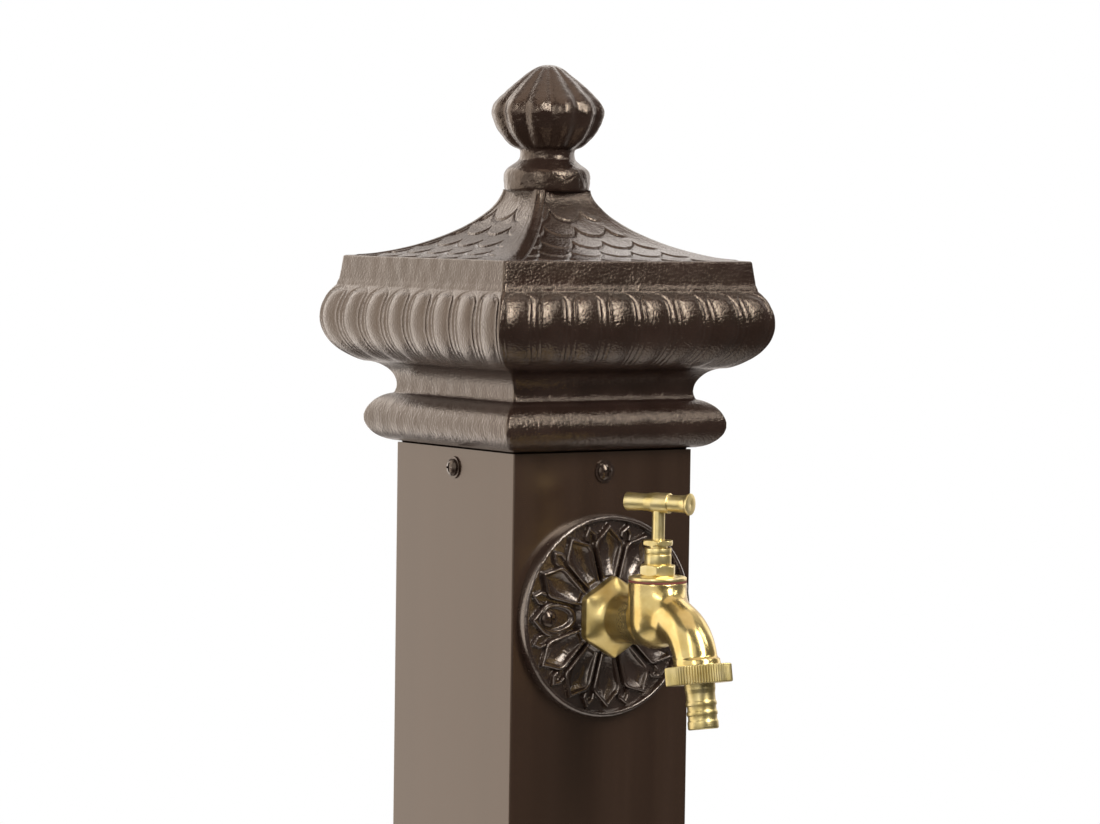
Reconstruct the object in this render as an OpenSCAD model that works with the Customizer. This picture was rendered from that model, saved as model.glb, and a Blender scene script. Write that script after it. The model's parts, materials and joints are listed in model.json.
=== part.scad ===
// Garden standpipe: a square painted column with a cast cap and base, and a brass bib tap
// Millimetres, +Z up, origin on the ground at the centre of the base, tap on the -Y face

/* [Post] */
// Width of the square post
post_w = 100; // [90:1:130]
// Length of the post between the base and the cap
post_h = 778; // [500:1:1000]
// Wall of the post
post_wall = 3; // [2:0.5:4]
// Radius of the post's outer corners
post_corner_r = 1; // [0.5:0.5:3]

/* [Cap] */
// Wall of the hollow casting
cap_wall = 5.5; // [4.5:0.5:7]
// Radius of the roll that sits on the post
cap_roll_r = 11.3; // [8:0.1:14]
// Height of the straight neck above the roll
cap_neck_h = 3.4; // [2:0.1:6]
// Radius of the hollow above the neck
cap_cove_r = 11.3; // [9:0.1:14]
// Radius of the gadrooned bulge
bulge_r = 22; // [20:0.5:26]
// Tongues on each side of the bulge
gadroons = 8; // [6:1:10]
// Depth of the grooves between the tongues
gadroon_depth = 1.8; // [0.5:0.1:2.5]
// Height of the plain band under the eaves
band_h = 11.3; // [8:0.1:16]
// Rise of the roof from the eaves to the finial
roof_h = 32; // [28:0.5:40]
// Depth of the skirt that fits inside the post
skirt_h = 22; // [18:1:30]
// Wall of the skirt
skirt_wall = 6; // [4:0.5:8]

/* [Finial] */
// Radius of the ring under the neck
ring_r = 20.5; // [18:0.5:24]
// Height of the ring
ring_h = 7; // [5:0.5:9]
// Radius of the neck
neck_r = 13; // [10:0.5:16]
// Height of the round shoulder between the ring and the neck
neck_h = 10; // [8:0.5:14]
// Greatest radius of the bud
bud_r = 26; // [22:0.5:32]
// Height of the bud below its widest place
bud_low_h = 18.6; // [14:0.1:22]
// Height of the bud above its widest place
bud_top_h = 23.4; // [18:0.1:30]
// Lobes round the bud
lobes = 12; // [12:4:16]
// Depth of the creases between the lobes
lobe_depth = 2; // [0.5:0.1:3]

/* [Base] */
// Width of the square foot
base_w = 170; // [165:1:220]
// Thickness of the foot
slab_h = 16; // [12:1:24]
// Radius along the foot's top edge
slab_round = 5; // [2:0.5:8]
// Radius of the hollow above the foot
base_cove_r = 8; // [5:0.5:10]
// Radius of the roll under the post
base_roll_r = 8.5; // [6:0.5:12]
// Distance of the ground bolts from the edges of the foot
bolt_inset = 14; // [12:0.5:16]
// Diameter of the ground bolt holes
bolt_hole_d = 11; // [9:0.5:13]

/* [Screws] */
// Diameter of the screws that hold the cap and the base
screw_d = 5; // [4:0.5:6]
// Length of those screws under the head
screw_l = 13; // [12:0.5:18]
// Diameter of their pan heads
screw_head_d = 8; // [7:0.5:10]
// Height of their heads
screw_head_h = 2.4; // [2:0.1:3.5]
// Diameter of their washers
washer_d = 10.4; // [9:0.2:14]
// Thickness of their washers
washer_t = 0.8; // [0.5:0.1:1.5]
// Distance of the cap screws below the top of the post
cap_screw_drop = 9; // [8:0.5:12]
// Distance of the base screws above the foot of the post
base_screw_rise = 12; // [9:0.5:14]

/* [Rosette] */
// Radius of the rosette
rosette_r = 46.5; // [44:0.5:49]
// Thickness of its back plate
rosette_t = 3; // [2:0.5:4]
// Radius of the round rim
rim_r = 2; // [1.5:0.1:3]
// Radius of the flat boss under the tap's shoulder
rosette_boss_r = 15; // [13:0.5:16]
// Thickness of the rosette at that boss
rosette_boss_t = 6.5; // [5:0.5:8]
// Petals round the rosette
petals = 12; // [8:4:16]
// Length of a petal
petal_l = 24; // [20:0.5:26]
// Width of a petal
petal_w = 12.4; // [9:0.2:14]
// Height of a petal above the back plate
petal_h = 3.2; // [2:0.1:4]
// Distance between the two rosette screws
rosette_screw_spacing = 64; // [58:1:70]
// Diameter of the rosette screws
rosette_screw_d = 4; // [3:0.5:5]
// Length of the rosette screws under the head
rosette_screw_l = 12; // [9:0.5:20]

/* [Tap body] */
// Distance from the top of the post down to the tap's inlet
tap_drop = 75.5; // [70:0.5:120]
// Outside diameter of the inlet thread
inlet_d = 20.9; // [18:0.1:22]
// Width across the flats of the wall shoulder
shoulder_af = 32.8; // [30:0.2:36]
// Length of the shoulder's flats
shoulder_t = 6; // [4:0.5:8]
// Length of the dome from the flats to the neck
shoulder_dome_l = 5.5; // [4:0.5:8]
// Diameter of the horizontal neck
tap_neck_d = 21.4; // [20:0.2:24]
// Distance from the post to the axis of the valve chamber
chamber_reach = 43; // [42:0.5:60]
// Outside diameter of the valve chamber
chamber_d = 26.4; // [25:0.2:32]
// Height of the chamber's top above the inlet axis
chamber_rise = 19.2; // [18:0.2:24]
// Bore of the chamber
chamber_bore_d = 20; // [18:0.2:21]
// Bore of the inlet
inlet_bore_d = 13; // [10:0.5:14]
// Diameter of the hole in the valve seat
seat_d = 9; // [7:0.5:10]
// Height of the valve seat above the inlet axis
seat_rise = 1.5; // [1:0.1:2.5]
// Thickness of the wall under the seat
seat_wall = 2.5; // [2:0.1:3]

/* [Spout] */
// Outside diameter of the spout
spout_d = 19.9; // [17:0.1:21]
// Bore of the spout
spout_bore_d = 8; // [6:0.2:8.4]
// Slope of the spout where it leaves the chamber
spout_slope = 25; // [20:1:30]
// Length of the straight stretch from the chamber's axis
spout_straight = 20.3; // [18:0.1:30]
// Radius of the bend
spout_bend_r = 20; // [18:0.5:32]
// Length of the straight stretch after the bend
spout_end_l = 2.5; // [1:0.1:10]
// Forward tilt of the outlet from the vertical
outlet_tilt = 10; // [0:1:20]
// How far the outlet thread stands forward of the spout's axis
outlet_offset = 1.5; // [0.5:0.1:2]
// Height of the spout's start below the top of the chamber
spout_start_drop = 9.5; // [9:0.1:11]

/* [Bonnet and gland] */
// Thickness of the red fibre washer
fibre_t = 0.8; // [0.5:0.1:2]
// Diameter of the bonnet's flange
bonnet_flange_d = 24; // [22.5:0.2:26]
// Thickness of the flange
bonnet_flange_t = 2.3; // [1.5:0.1:4]
// Width across the flats of the bonnet's hexagon
bonnet_af = 15.2; // [14:0.2:19]
// Height of the hexagon
bonnet_hex_h = 4.6; // [4:0.2:8]
// Diameter of the bonnet's neck
bonnet_neck_d = 11.8; // [11:0.2:13]
// Height of the neck
bonnet_neck_h = 7.6; // [7:0.2:12]
// Length of the threaded spigot inside the chamber
bonnet_spigot_l = 4.2; // [3.5:0.1:4.4]
// Width across the flats of the gland nut
gland_af = 12.8; // [11:0.2:15]
// Height of the gland nut's head
gland_head_h = 2.3; // [2:0.1:4]
// Gap between the bonnet and the gland nut's head
gland_gap = 1.3; // [0.5:0.1:2]
// Diameter of the gland nut's thread
gland_thread_d = 8.6; // [8:0.1:9.2]
// Length of the gland thread inside the bonnet
gland_thread_l = 3; // [2:0.1:3.5]
// Height of the packing under the gland
packing_h = 3; // [2:0.1:3.5]

/* [Spindle and valve] */
// Diameter of the plain stem
stem_d = 5.8; // [5:0.1:6.2]
// Diameter of the spindle's screw
spindle_d = 8.9; // [8.2:0.1:9.4]
// Rise of the valve when it is fully open
valve_lift = 6; // [4:0.2:6.2]
// Diameter of the rubber valve washer
valve_washer_d = 14; // [12:0.5:17]
// Thickness of the valve washer
valve_washer_t = 2.8; // [2:0.1:3]
// Thickness of the jumper plate
jumper_t = 2.4; // [1.5:0.1:2.6]
// Diameter of the jumper's pin
jumper_pin_d = 5; // [4:0.1:5.6]
// Length of the jumper's pin inside the spindle
jumper_pin_l = 8; // [6:0.5:10]
// Width across the flats of the washer nut
washer_nut_af = 5.5; // [4.5:0.1:6]
// Height of the washer nut
washer_nut_h = 2.2; // [1.5:0.1:3]

/* [Handle] */
// Length of the tee bar
tee_l = 32.4; // [28:0.2:55]
// Diameter of the bar at its waist
tee_waist_d = 8; // [7.6:0.1:9]
// Diameter of the bar at its ends
tee_end_d = 9.6; // [9:0.1:12]
// Diameter of the boss at the middle
tee_boss_d = 10.6; // [10:0.1:13]
// Length of the boss
tee_boss_l = 12; // [10:0.5:16]
// Height of the bar above the inlet axis
tee_rise = 55; // [50:0.5:70]
// Turn of the bar from straight ahead when the tap is shut
tee_angle = 27; // [0:1:90]

/* [Hose union] */
// Outside diameter of the union nut
union_d = 30; // [29.5:0.1:34]
// Height of the union nut
union_h = 8.3; // [8:0.1:12]
// Teeth of the knurl
union_teeth = 72; // [48:4:96]
// Diameter of the outlet thread
outlet_d = 26.3; // [25:0.1:26.6]
// Length of the outlet thread
outlet_thread_l = 3.6; // [3:0.1:3.8]
// Thickness of the flat union washer
union_washer_t = 1.5; // [1:0.1:2]
// Thickness of the hose tail's flange
tail_flange_t = 1.4; // [1:0.1:2]
// Diameter of the plain part of the hose tail
tail_d = 12.4; // [11:0.1:13]
// Diameter over the ribs of the hose tail
tail_rib_d = 13.5; // [13.2:0.1:14.5]
// Length of the hose tail below the nut
tail_l = 20.2; // [20:0.2:40]
// Bore of the hose tail
tail_bore_d = 9; // [7:0.5:10]

/* [Supply pipe] */
// Outside diameter of the riser pipe
pipe_d = 15; // [14:0.5:16]
// Wall of the riser pipe
pipe_wall = 1; // [0.8:0.1:1.5]
// Height of the foot adaptor's hexagon above the ground
foot_z = 46; // [40:1:60]
// Length of the inlet thread at the foot
foot_thread_l = 15; // [12:0.5:18]
// Thickness of the lock nut behind the post wall
lock_nut_t = 6; // [4:0.5:8]
// Width across the flats of the lock nut
lock_nut_af = 27; // [26:0.5:32]
// Depth of the tap's thread in the elbow
elbow_grip = 14; // [10:0.5:16]
// Length of the elbow's lower leg
elbow_leg_l = 30; // [28:0.5:40]
// Width across the flats of the compression nuts
pipe_nut_af = 25; // [24.5:0.5:30]
// Height of the compression nuts
pipe_nut_h = 17; // [15:0.5:22]

/* [Hidden] */
$fn = 96;

// Clearances: thread and running fits, loose holes, and slack between cast and tube
fit = 0.05;
hole_slack = 0.3;
tube_slack = 0.5;
// Overlap that makes two shapes of one piece into one
sink = 1;

// Colours
paint = "#35241e";
cast_brass = "#b98a3a";
turned_brass = "#d2b878";
steel = "#6a5f58";
rubber = "#1d1d1d";
fibre = "#b03024";
copper = "#b5683f";
packing = "#cfc8b8";

// Heights and places of the main pieces
base_seat_gap = 1;
base_h = slab_h + base_cove_r + 2 * base_roll_r + base_seat_gap;
post_top = base_h + post_h;
face_y = -post_w / 2;
inner_half = post_w / 2 - post_wall;
skirt_half = inner_half - tube_slack;
skirt_in = skirt_half - skirt_wall;
tap_z = post_top - tap_drop;
chamber_y = face_y - chamber_reach;

function hex_r(af) = af / sqrt(3);

// Rings of points, all starting over the same corner and running the same way
// A square ring has n steps a side, with grooves of the given depth between its tongues
function square_ring(half, z, n = 1, depth = 0) = [
    for (side = [0:3], i = [0:n - 1])
        let (u = i / n,
             groove = i == 0 ? 0 : depth * (1 - abs(sin(180 * gadroons * u))),
             x = half * (2 * u - 1),
             y = groove - half)
        [x * cos(90 * side) - y * sin(90 * side), x * sin(90 * side) + y * cos(90 * side), z]];

// A round ring has n steps a quarter, with creases of the given depth between its lobes
function round_ring(r, z, n, depth = 0) = [
    for (i = [0:4 * n - 1])
        let (turn = 90 * i / n,
             reach = r - depth * (1 - abs(sin(lobes / 2 * turn))))
        [reach * cos(turn - 135), reach * sin(turn - 135), z]];

function arc(half, z, r, from, to, steps) = [
    for (i = [0:steps])
        let (a = from + (to - from) * i / steps)
        [half + r * cos(a), z + r * sin(a)]];

// Triangles between one ring and the next, where a ring of one step a side may meet a finer one
function band(a, na, b, nb) = [
    for (side = [0:3])
        let (step = max(na, nb),
             a0 = a + side * na,
             b0 = b + side * nb,
             a1 = a + ((side + 1) * na) % (4 * na),
             b1 = b + ((side + 1) * nb) % (4 * nb))
        each na == nb
            ? [for (i = [0:na - 1], half = [0, 1])
                let (ai = a0 + i, bi = b0 + i,
                     aj = i == na - 1 ? a1 : ai + 1,
                     bj = i == nb - 1 ? b1 : bi + 1)
                half == 0 ? [ai, aj, bj] : [ai, bj, bi]]
            : na < nb
                ? [for (i = [0:step])
                    i == step ? [a0, a1, b1] : [a0, i == step - 1 ? b1 : b0 + i + 1, b0 + i]]
                : [for (i = [0:step])
                    i == step ? [a1, b1, b0] : [a0 + i, i == step - 1 ? a1 : a0 + i + 1, b0]]];

// A closed skin over rings that run from the top down the outside and up the inside
// With a through hole the last ring joins the first, and without one both ends are covered
module skin(rings, through = false) {
    counts = [for (r = rings) len(r) / 4];
    starts = [for (i = 0, t = 0; i < len(rings); t = t + len(rings[i]), i = i + 1) t];
    last = len(rings) - 1;
    top_cover = [for (i = [len(rings[0]) - 1:-1:0]) i];
    end_cover = [for (i = [0:len(rings[last]) - 1]) starts[last] + i];
    sides = [for (i = [0:last - 1]) each band(starts[i], counts[i], starts[i + 1], counts[i + 1])];
    closing = through ? band(starts[last], counts[last], starts[0], counts[0])
                      : [top_cover, end_cover];
    polyhedron([for (r = rings) each r], concat(sides, closing));
}

module hexagon(af, h) {
    cylinder(r = hex_r(af), h = h, $fn = 6);
}

module ring(r_out, r_in, h) {
    difference() {
        cylinder(r = r_out, h = h);
        translate([0, 0, -sink]) cylinder(r = r_in, h = h + 2 * sink);
    }
}

// Places: each turns the piece's own +Z to the way that it faces
module on_front(z, reach = 0) {
    translate([0, face_y - reach, z]) rotate([90, 0, 0]) children();
}

module on_four_faces(z, reach = 0) {
    for (side = [0:3]) rotate([0, 0, 90 * side]) on_front(z, reach) children();
}

module at_chamber(z) {
    translate([0, chamber_y, z]) children();
}

// Post
tail_hole_r = inlet_d / 2 + 2 * hole_slack;
screw_hole_r = screw_d / 2 + hole_slack;
cap_screw_z = post_top - cap_screw_drop;
base_screw_z = base_h + base_screw_rise;

module rounded_square(half, r) {
    square([2 * half, 2 * (half - r)], center = true);
    square([2 * (half - r), 2 * half], center = true);
    for (x = [-1, 1], y = [-1, 1]) translate([x * (half - r), y * (half - r)]) circle(r);
}

module wall_hole(r) {
    translate([0, 0, -post_wall - sink]) cylinder(r = r, h = post_wall + 2 * sink);
}

module post() {
    color(paint) difference() {
        translate([0, 0, base_h]) linear_extrude(post_h) difference() {
            rounded_square(post_w / 2, post_corner_r);
            square(2 * inner_half, center = true);
        }
        on_front(tap_z) wall_hole(tail_hole_r);
        on_four_faces(cap_screw_z) wall_hole(screw_hole_r);
        on_four_faces(base_screw_z) wall_hole(screw_hole_r);
        for (x = [-1, 1])
            translate([x * rosette_screw_spacing / 2, 0, 0])
                on_front(tap_z) wall_hole(rosette_screw_d / 2 + fit);
    }
}

// Cap profile, as half widths and heights above the top of the post
roll_proud = 1;
foot_proud = 2;
cap_neck_proud = 0.7;
roll_arc = 78;
bulge_start = -75;
bulge_end = 46;
band_step = 0.7;
band_rise = 1.6;
band_taper = 1.7;
roof_foot = 14.2;
roof_curve = 1.21;

roll_half = post_w / 2 + roll_proud;
roll_z = cap_roll_r + roll_proud;
cove_half = post_w / 2 + cap_neck_proud + cap_cove_r;
cove_z = roll_z + cap_roll_r + cap_neck_h;
bulge_half = cove_half - bulge_r * cos(bulge_start);
bulge_z = cove_z + cap_cove_r - bulge_r * sin(bulge_start);
band_half = bulge_half + bulge_r * cos(bulge_end) - band_step;
band_z = bulge_z + bulge_r * sin(bulge_end) + band_rise;
eaves_half = band_half - band_taper;
eaves_z = band_z + band_h;
roof_top = eaves_z + roof_h;

// Half width and height of the roof, from 0 at the finial to 90 at the eaves
function roof_point(a) = [eaves_half - (eaves_half - roof_foot) * pow(cos(a), roof_curve),
                          roof_top - roof_h * pow(sin(a), roof_curve)];

// Finial profile: radius and height of the bud, from -90 at the neck to 90 at the tip
bud_curve = 1.4;
bud_pinch = 1.6;
bud_z = roof_top + ring_h + neck_h + bud_low_h;

function bud_point(a) = a < 0
    ? [neck_r + (bud_r - neck_r) * pow(cos(a), bud_pinch), bud_z - bud_low_h * pow(-sin(a), bud_curve)]
    : [bud_r * pow(cos(a), bud_curve), bud_z + bud_top_h * pow(sin(a), bud_curve)];

tongue_steps = 4 * gadroons;
lobe_steps = lobes;
tip_angle = 82;
bud_step = 14;

module cap() {
    finial = [
        for (a = [tip_angle:-bud_step:-80])
            let (p = bud_point(a), share = p[0] / bud_r)
            round_ring(p[0], p[1], lobe_steps, lobe_depth * (a < -60 ? 0 : share)),
        for (a = [165:-33:0])
            round_ring((ring_r + neck_r + (ring_r - neck_r) * cos(a)) / 2,
                       roof_top + ring_h + neck_h * a / 180, lobe_steps),
        round_ring(ring_r, roof_top + ring_h / 6, lobe_steps),
        round_ring(ring_r - ring_h / 8, roof_top, lobe_steps)];
    roof = [for (a = [0:15:90]) let (p = roof_point(a)) square_ring(p[0], p[1])];
    bulge = [for (a = [bulge_end:-(bulge_end - bulge_start) / 8:bulge_start])
                let (swell = a > 40 || a < -70 ? 0 : 1)
                square_ring(bulge_half + bulge_r * cos(a), bulge_z + bulge_r * sin(a), tongue_steps,
                            gadroon_depth * swell)];
    cove = [for (p = arc(cove_half, cove_z, cap_cove_r, 100, 180, 5)) square_ring(p[0], p[1])];
    roll = [for (p = arc(roll_half, roll_z, cap_roll_r, roll_arc, -roll_arc, 9)) square_ring(p[0], p[1])];
    inner_r = bulge_r - cap_wall;
    inside = [
        square_ring(skirt_half, 0),
        square_ring(skirt_half, -skirt_h),
        square_ring(skirt_in, -skirt_h),
        square_ring(skirt_in, cove_z + cap_cove_r - cap_wall / 2),
        for (p = arc(bulge_half, bulge_z, inner_r, -60, 40, 4)) square_ring(p[0], p[1]),
        square_ring(eaves_half - 1.2 * cap_wall, eaves_z - 1.2 * cap_wall),
        for (a = [60, 30, 15])
            let (p = roof_point(a))
            square_ring(p[0] - cap_wall / 2, p[1] - cap_wall)];
    color(paint) difference() {
        translate([0, 0, post_top])
            skin(concat(finial, roof, [square_ring(band_half, band_z)], bulge, cove, roll,
                        [square_ring(post_w / 2 + foot_proud, 0)], inside));
        on_four_faces(cap_screw_z, -post_wall)
            translate([0, 0, -skirt_wall - sink - tube_slack])
                cylinder(d = screw_d, h = skirt_wall + 2 * sink + tube_slack);
    }
}

// Pan screws and washers of the cap and the base
recess_w = 1;
recess_l = 4.4;
recess_deep = 1.2;

// A cross recess cut into the top of a head at the given height
module cross_recess(z) {
    for (a = [0, 90]) rotate([0, 0, a])
        translate([0, 0, z - recess_deep / 2 + sink / 2])
            cube([recess_l, recess_w, recess_deep + sink], center = true);
}

module pan_screw(d, l, head_d, head_h) {
    dome_r = (head_d * head_d / 4 + head_h * head_h) / (2 * head_h) * 1.25;
    difference() {
        union() {
            intersection() {
                cylinder(d = head_d, h = head_h);
                translate([0, 0, head_h - dome_r]) sphere(dome_r);
            }
            translate([0, 0, -l]) cylinder(d = d - 2 * fit, h = l + head_h / 2);
        }
        cross_recess(head_h);
    }
}

module post_screws(z) {
    color(steel) on_four_faces(z, washer_t) pan_screw(screw_d, screw_l, screw_head_d, screw_head_h);
}

module post_washers(z) {
    color(steel) on_four_faces(z) ring(washer_d / 2, screw_hole_r, washer_t);
}

module cap_screws() { post_screws(cap_screw_z); }
module cap_washers() { post_washers(cap_screw_z); }
module base_screws() { post_screws(base_screw_z); }
module base_washers() { post_washers(base_screw_z); }

// Base: a moulded foot with a spigot inside the post
spigot_h = skirt_h + 3;

module base_plinth() {
    base_roll_z = base_h - base_seat_gap - base_roll_r;
    cove_half = roll_half + base_cove_r + foot_proud;
    slab_half = base_w / 2;
    rings = [
        square_ring(skirt_half, base_h + spigot_h),
        square_ring(skirt_half, base_h),
        square_ring(post_w / 2 + foot_proud, base_h),
        for (p = arc(roll_half, base_roll_z, base_roll_r, roll_arc, -roll_arc, 8)) square_ring(p[0], p[1]),
        for (p = arc(cove_half, slab_h + base_cove_r, base_cove_r, 180, 270, 5)) square_ring(p[0], p[1]),
        for (p = arc(slab_half - slab_round, slab_h - slab_round, slab_round, 90, 0, 4))
            square_ring(p[0], p[1]),
        square_ring(slab_half, 0),
        square_ring(skirt_in, 0),
        square_ring(skirt_in, base_h + spigot_h)];
    color(paint) difference() {
        skin(rings, through = true);
        for (x = [-1, 1], y = [-1, 1])
            translate([x * (slab_half - bolt_inset), y * (slab_half - bolt_inset), -sink])
                cylinder(d = bolt_hole_d, h = slab_h + 2 * sink);
        on_four_faces(base_screw_z, -post_wall)
            translate([0, 0, -skirt_wall - sink - tube_slack])
                cylinder(d = screw_d, h = skirt_wall + 2 * sink + tube_slack);
    }
}

// Rosette
petal_crown = 30;
rosette_head_d = 2 * rosette_screw_d;
rosette_head_h = 2.4;
leaf_share = 0.38;

// A pointed oval of the given length and width
module pointed_oval(l, w) {
    r = (l * l / 4 + w * w / 4) / w;
    intersection_for(side = [-1, 1]) translate([0, side * (r - w / 2)]) circle(r);
}

// One petal lying along X with its outer tip at the given radius
module petal(tip, l, w, h) {
    translate([tip - l / 2, 0, 0]) intersection() {
        linear_extrude(rosette_t + h + sink) pointed_oval(l, w);
        translate([0, 0, rosette_t + h - petal_crown]) sphere(petal_crown);
    }
}

module rosette() {
    petal_tip = rosette_r - rim_r - 1.5;
    leaf_tip = rosette_r - rim_r / 2;
    color(paint) on_front(tap_z) difference() {
        union() {
            cylinder(r = rosette_r, h = rosette_t);
            cylinder(r = rosette_boss_r, h = rosette_boss_t);
            rotate_extrude() translate([rosette_r - rim_r, rosette_t]) circle(rim_r, $fn = 32);
            for (i = [0:petals - 1]) {
                rotate([0, 0, 360 * i / petals]) petal(petal_tip, petal_l, petal_w, petal_h);
                rotate([0, 0, 360 * (i + 0.5) / petals])
                    petal(leaf_tip, petal_l * leaf_share, petal_w * leaf_share, petal_h / 2);
            }
        }
        translate([0, 0, -sink]) cylinder(r = tail_hole_r, h = rosette_boss_t + 2 * sink);
        for (x = [-1, 1]) translate([x * rosette_screw_spacing / 2, 0, -sink]) {
            cylinder(d = rosette_screw_d + 2 * hole_slack, h = rosette_t + petal_h + 2 * sink);
            translate([0, 0, rosette_t + sink])
                cylinder(d = rosette_head_d + 2 * hole_slack, h = petal_h + 2 * sink);
        }
    }
}

module rosette_screws() {
    color(steel) for (x = [-1, 1])
        translate([x * rosette_screw_spacing / 2, 0, 0])
            on_front(tap_z, rosette_t)
                pan_screw(rosette_screw_d, rosette_screw_l, rosette_head_d, rosette_head_h);
}

// Tap body
elbow_gap = 1;
tail_end_y = face_y + post_wall + lock_nut_t + elbow_gap + elbow_grip;
shoulder_y = face_y - rosette_boss_t;
chamber_top = tap_z + chamber_rise;
seat_z = tap_z + seat_rise;
port_r = 2.9;
port_top = seat_z - seat_wall - 0.8;
sump_r = 7.5;
port_groove = 0.6;
sump_z = port_top - 2 * port_r + port_groove;
dome_rise = 2;
spout_z = chamber_top - spout_start_drop;
outlet_slope = 90 - outlet_tilt;

// The spout's axis, as Y and Z: the end of its straight stretch, its bend's centre, and its end
bend_start = [chamber_y - spout_straight * cos(spout_slope), spout_z - spout_straight * sin(spout_slope)];
bend_centre = bend_start + spout_bend_r * [sin(spout_slope), -cos(spout_slope)];
bend_end = bend_centre + spout_bend_r * [-sin(outlet_slope), cos(outlet_slope)];
outlet_start = bend_end - spout_end_l * [cos(outlet_slope), sin(outlet_slope)]
               - outlet_offset * [sin(outlet_slope), -cos(outlet_slope)];

// Puts the piece's own +Z along the outlet, downwards, with 0 where the outlet thread starts
module at_outlet(s = 0) {
    translate([0, outlet_start[0], outlet_start[1]]) rotate([-outlet_tilt, 0, 0])
        mirror([0, 0, 1]) translate([0, 0, s]) children();
}

// A rod of the given radius along the spout, with a slightly slimmer bend between two straight stretches
bend_lap = 0.6;
bend_step = 0.1;

module spout_rod(r) {
    translate([0, chamber_y, spout_z]) rotate([90 + spout_slope, 0, 0])
        cylinder(r = r, h = spout_straight + bend_lap);
    translate([0, bend_centre[0], bend_centre[1]])
        rotate([90, 0, 90]) rotate([0, 0, 90 + spout_slope])
            rotate_extrude(angle = outlet_slope - spout_slope) translate([spout_bend_r, 0]) circle(r - bend_step);
    translate([0, bend_end[0], bend_end[1]]) rotate([-outlet_tilt, 0, 0])
        translate([0, 0, -spout_end_l - outlet_thread_l / 2])
            cylinder(r = r, h = spout_end_l + outlet_thread_l / 2 + bend_lap);
}

module front_rod(y_back, y_front, r, z = tap_z) {
    translate([0, y_back, z]) rotate([90, 0, 0]) cylinder(r = r, h = y_back - y_front);
}

// The wall shoulder: a hexagon with a turned back edge and a domed front
module shoulder() {
    flat = shoulder_af / 2;
    corner = hex_r(shoulder_af);
    chamfer = 1.8;
    end = shoulder_t + shoulder_dome_l;
    intersection() {
        hexagon(shoulder_af, end);
        rotate_extrude() polygon([[0, 0], [flat - 1, 0], [corner, chamfer], [corner, shoulder_t - chamfer],
                                  [flat, shoulder_t], [(flat + tap_neck_d / 2) / 2, end - chamfer],
                                  [tap_neck_d / 2 - 0.2, end], [0, end]]);
    }
}

module tap_body() {
    dome_z = tap_z + dome_rise;
    color(cast_brass) difference() {
        union() {
            front_rod(tail_end_y, shoulder_y - sink, inlet_d / 2);
            translate([0, shoulder_y, tap_z]) rotate([90, 0, 0]) rotate([0, 0, 30]) shoulder();
            front_rod(shoulder_y - shoulder_t, chamber_y, tap_neck_d / 2);
            at_chamber(dome_z) cylinder(d = chamber_d, h = chamber_top - dome_z);
            at_chamber(dome_z) sphere(d = chamber_d);
            spout_rod(spout_d / 2);
            at_outlet() cylinder(d = outlet_d, h = outlet_thread_l);
        }
        front_rod(tail_end_y + sink, chamber_y + chamber_d / 2 + sink, inlet_bore_d / 2);
        front_rod(chamber_y + chamber_d / 2 + 2 * sink, chamber_y, port_r, port_top - port_r);
        at_chamber(sump_z) cylinder(r = sump_r, h = seat_z - seat_wall - sump_z);
        at_chamber(seat_z - seat_wall - sink) cylinder(d = seat_d, h = seat_wall + 2 * sink);
        at_chamber(seat_z) cylinder(d = chamber_bore_d, h = chamber_top - seat_z + sink);
        spout_rod(spout_bore_d / 2);
        at_outlet(outlet_thread_l / 4) cylinder(d = spout_bore_d, h = outlet_thread_l);
    }
}

// Bonnet, gland and packing
bonnet_z = chamber_top + fibre_t;
bonnet_hex_z = bonnet_z + bonnet_flange_t;
bonnet_top = bonnet_hex_z + bonnet_hex_h + bonnet_neck_h;
packing_z = bonnet_top - gland_thread_l - packing_h;
guide_h = 2.5;
screw_top = packing_z - guide_h;

module bonnet_washer() {
    color(fibre) at_chamber(chamber_top) ring(chamber_d / 2, chamber_bore_d / 2, fibre_t);
}

module bonnet() {
    color(turned_brass) at_chamber(0) difference() {
        union() {
            translate([0, 0, chamber_top - bonnet_spigot_l])
                cylinder(d = chamber_bore_d - 2 * fit, h = bonnet_spigot_l + fibre_t + sink);
            translate([0, 0, bonnet_z]) cylinder(d = bonnet_flange_d, h = bonnet_flange_t);
            translate([0, 0, bonnet_hex_z]) hexagon(bonnet_af, bonnet_hex_h);
            translate([0, 0, bonnet_hex_z]) cylinder(d = bonnet_neck_d, h = bonnet_top - bonnet_hex_z);
        }
        translate([0, 0, chamber_top - bonnet_spigot_l - sink])
            cylinder(d = spindle_d + 2 * fit, h = screw_top - chamber_top + bonnet_spigot_l + sink);
        translate([0, 0, screw_top - sink]) cylinder(d = stem_d + 2 * fit, h = guide_h + 2 * sink);
        translate([0, 0, packing_z])
            cylinder(d = gland_thread_d + 2 * fit, h = bonnet_top - packing_z + sink);
    }
}

module gland_packing() {
    color(packing) at_chamber(packing_z) ring(gland_thread_d / 2, stem_d / 2 + fit, packing_h);
}

module gland_nut() {
    color(turned_brass) at_chamber(bonnet_top - gland_thread_l) difference() {
        union() {
            cylinder(d = gland_thread_d, h = gland_thread_l + gland_gap + sink);
            translate([0, 0, gland_thread_l + gland_gap]) hexagon(gland_af, gland_head_h);
        }
        translate([0, 0, -sink])
            cylinder(d = stem_d + 2 * fit, h = gland_thread_l + gland_gap + gland_head_h + 2 * sink);
    }
}

// Valve: the jumper with its washer and nut rises with the spindle
washer_top = seat_z + valve_washer_t;
jumper_top = washer_top + jumper_t;
tee_z = tap_z + tee_rise;
stem_grip = 2;

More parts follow.
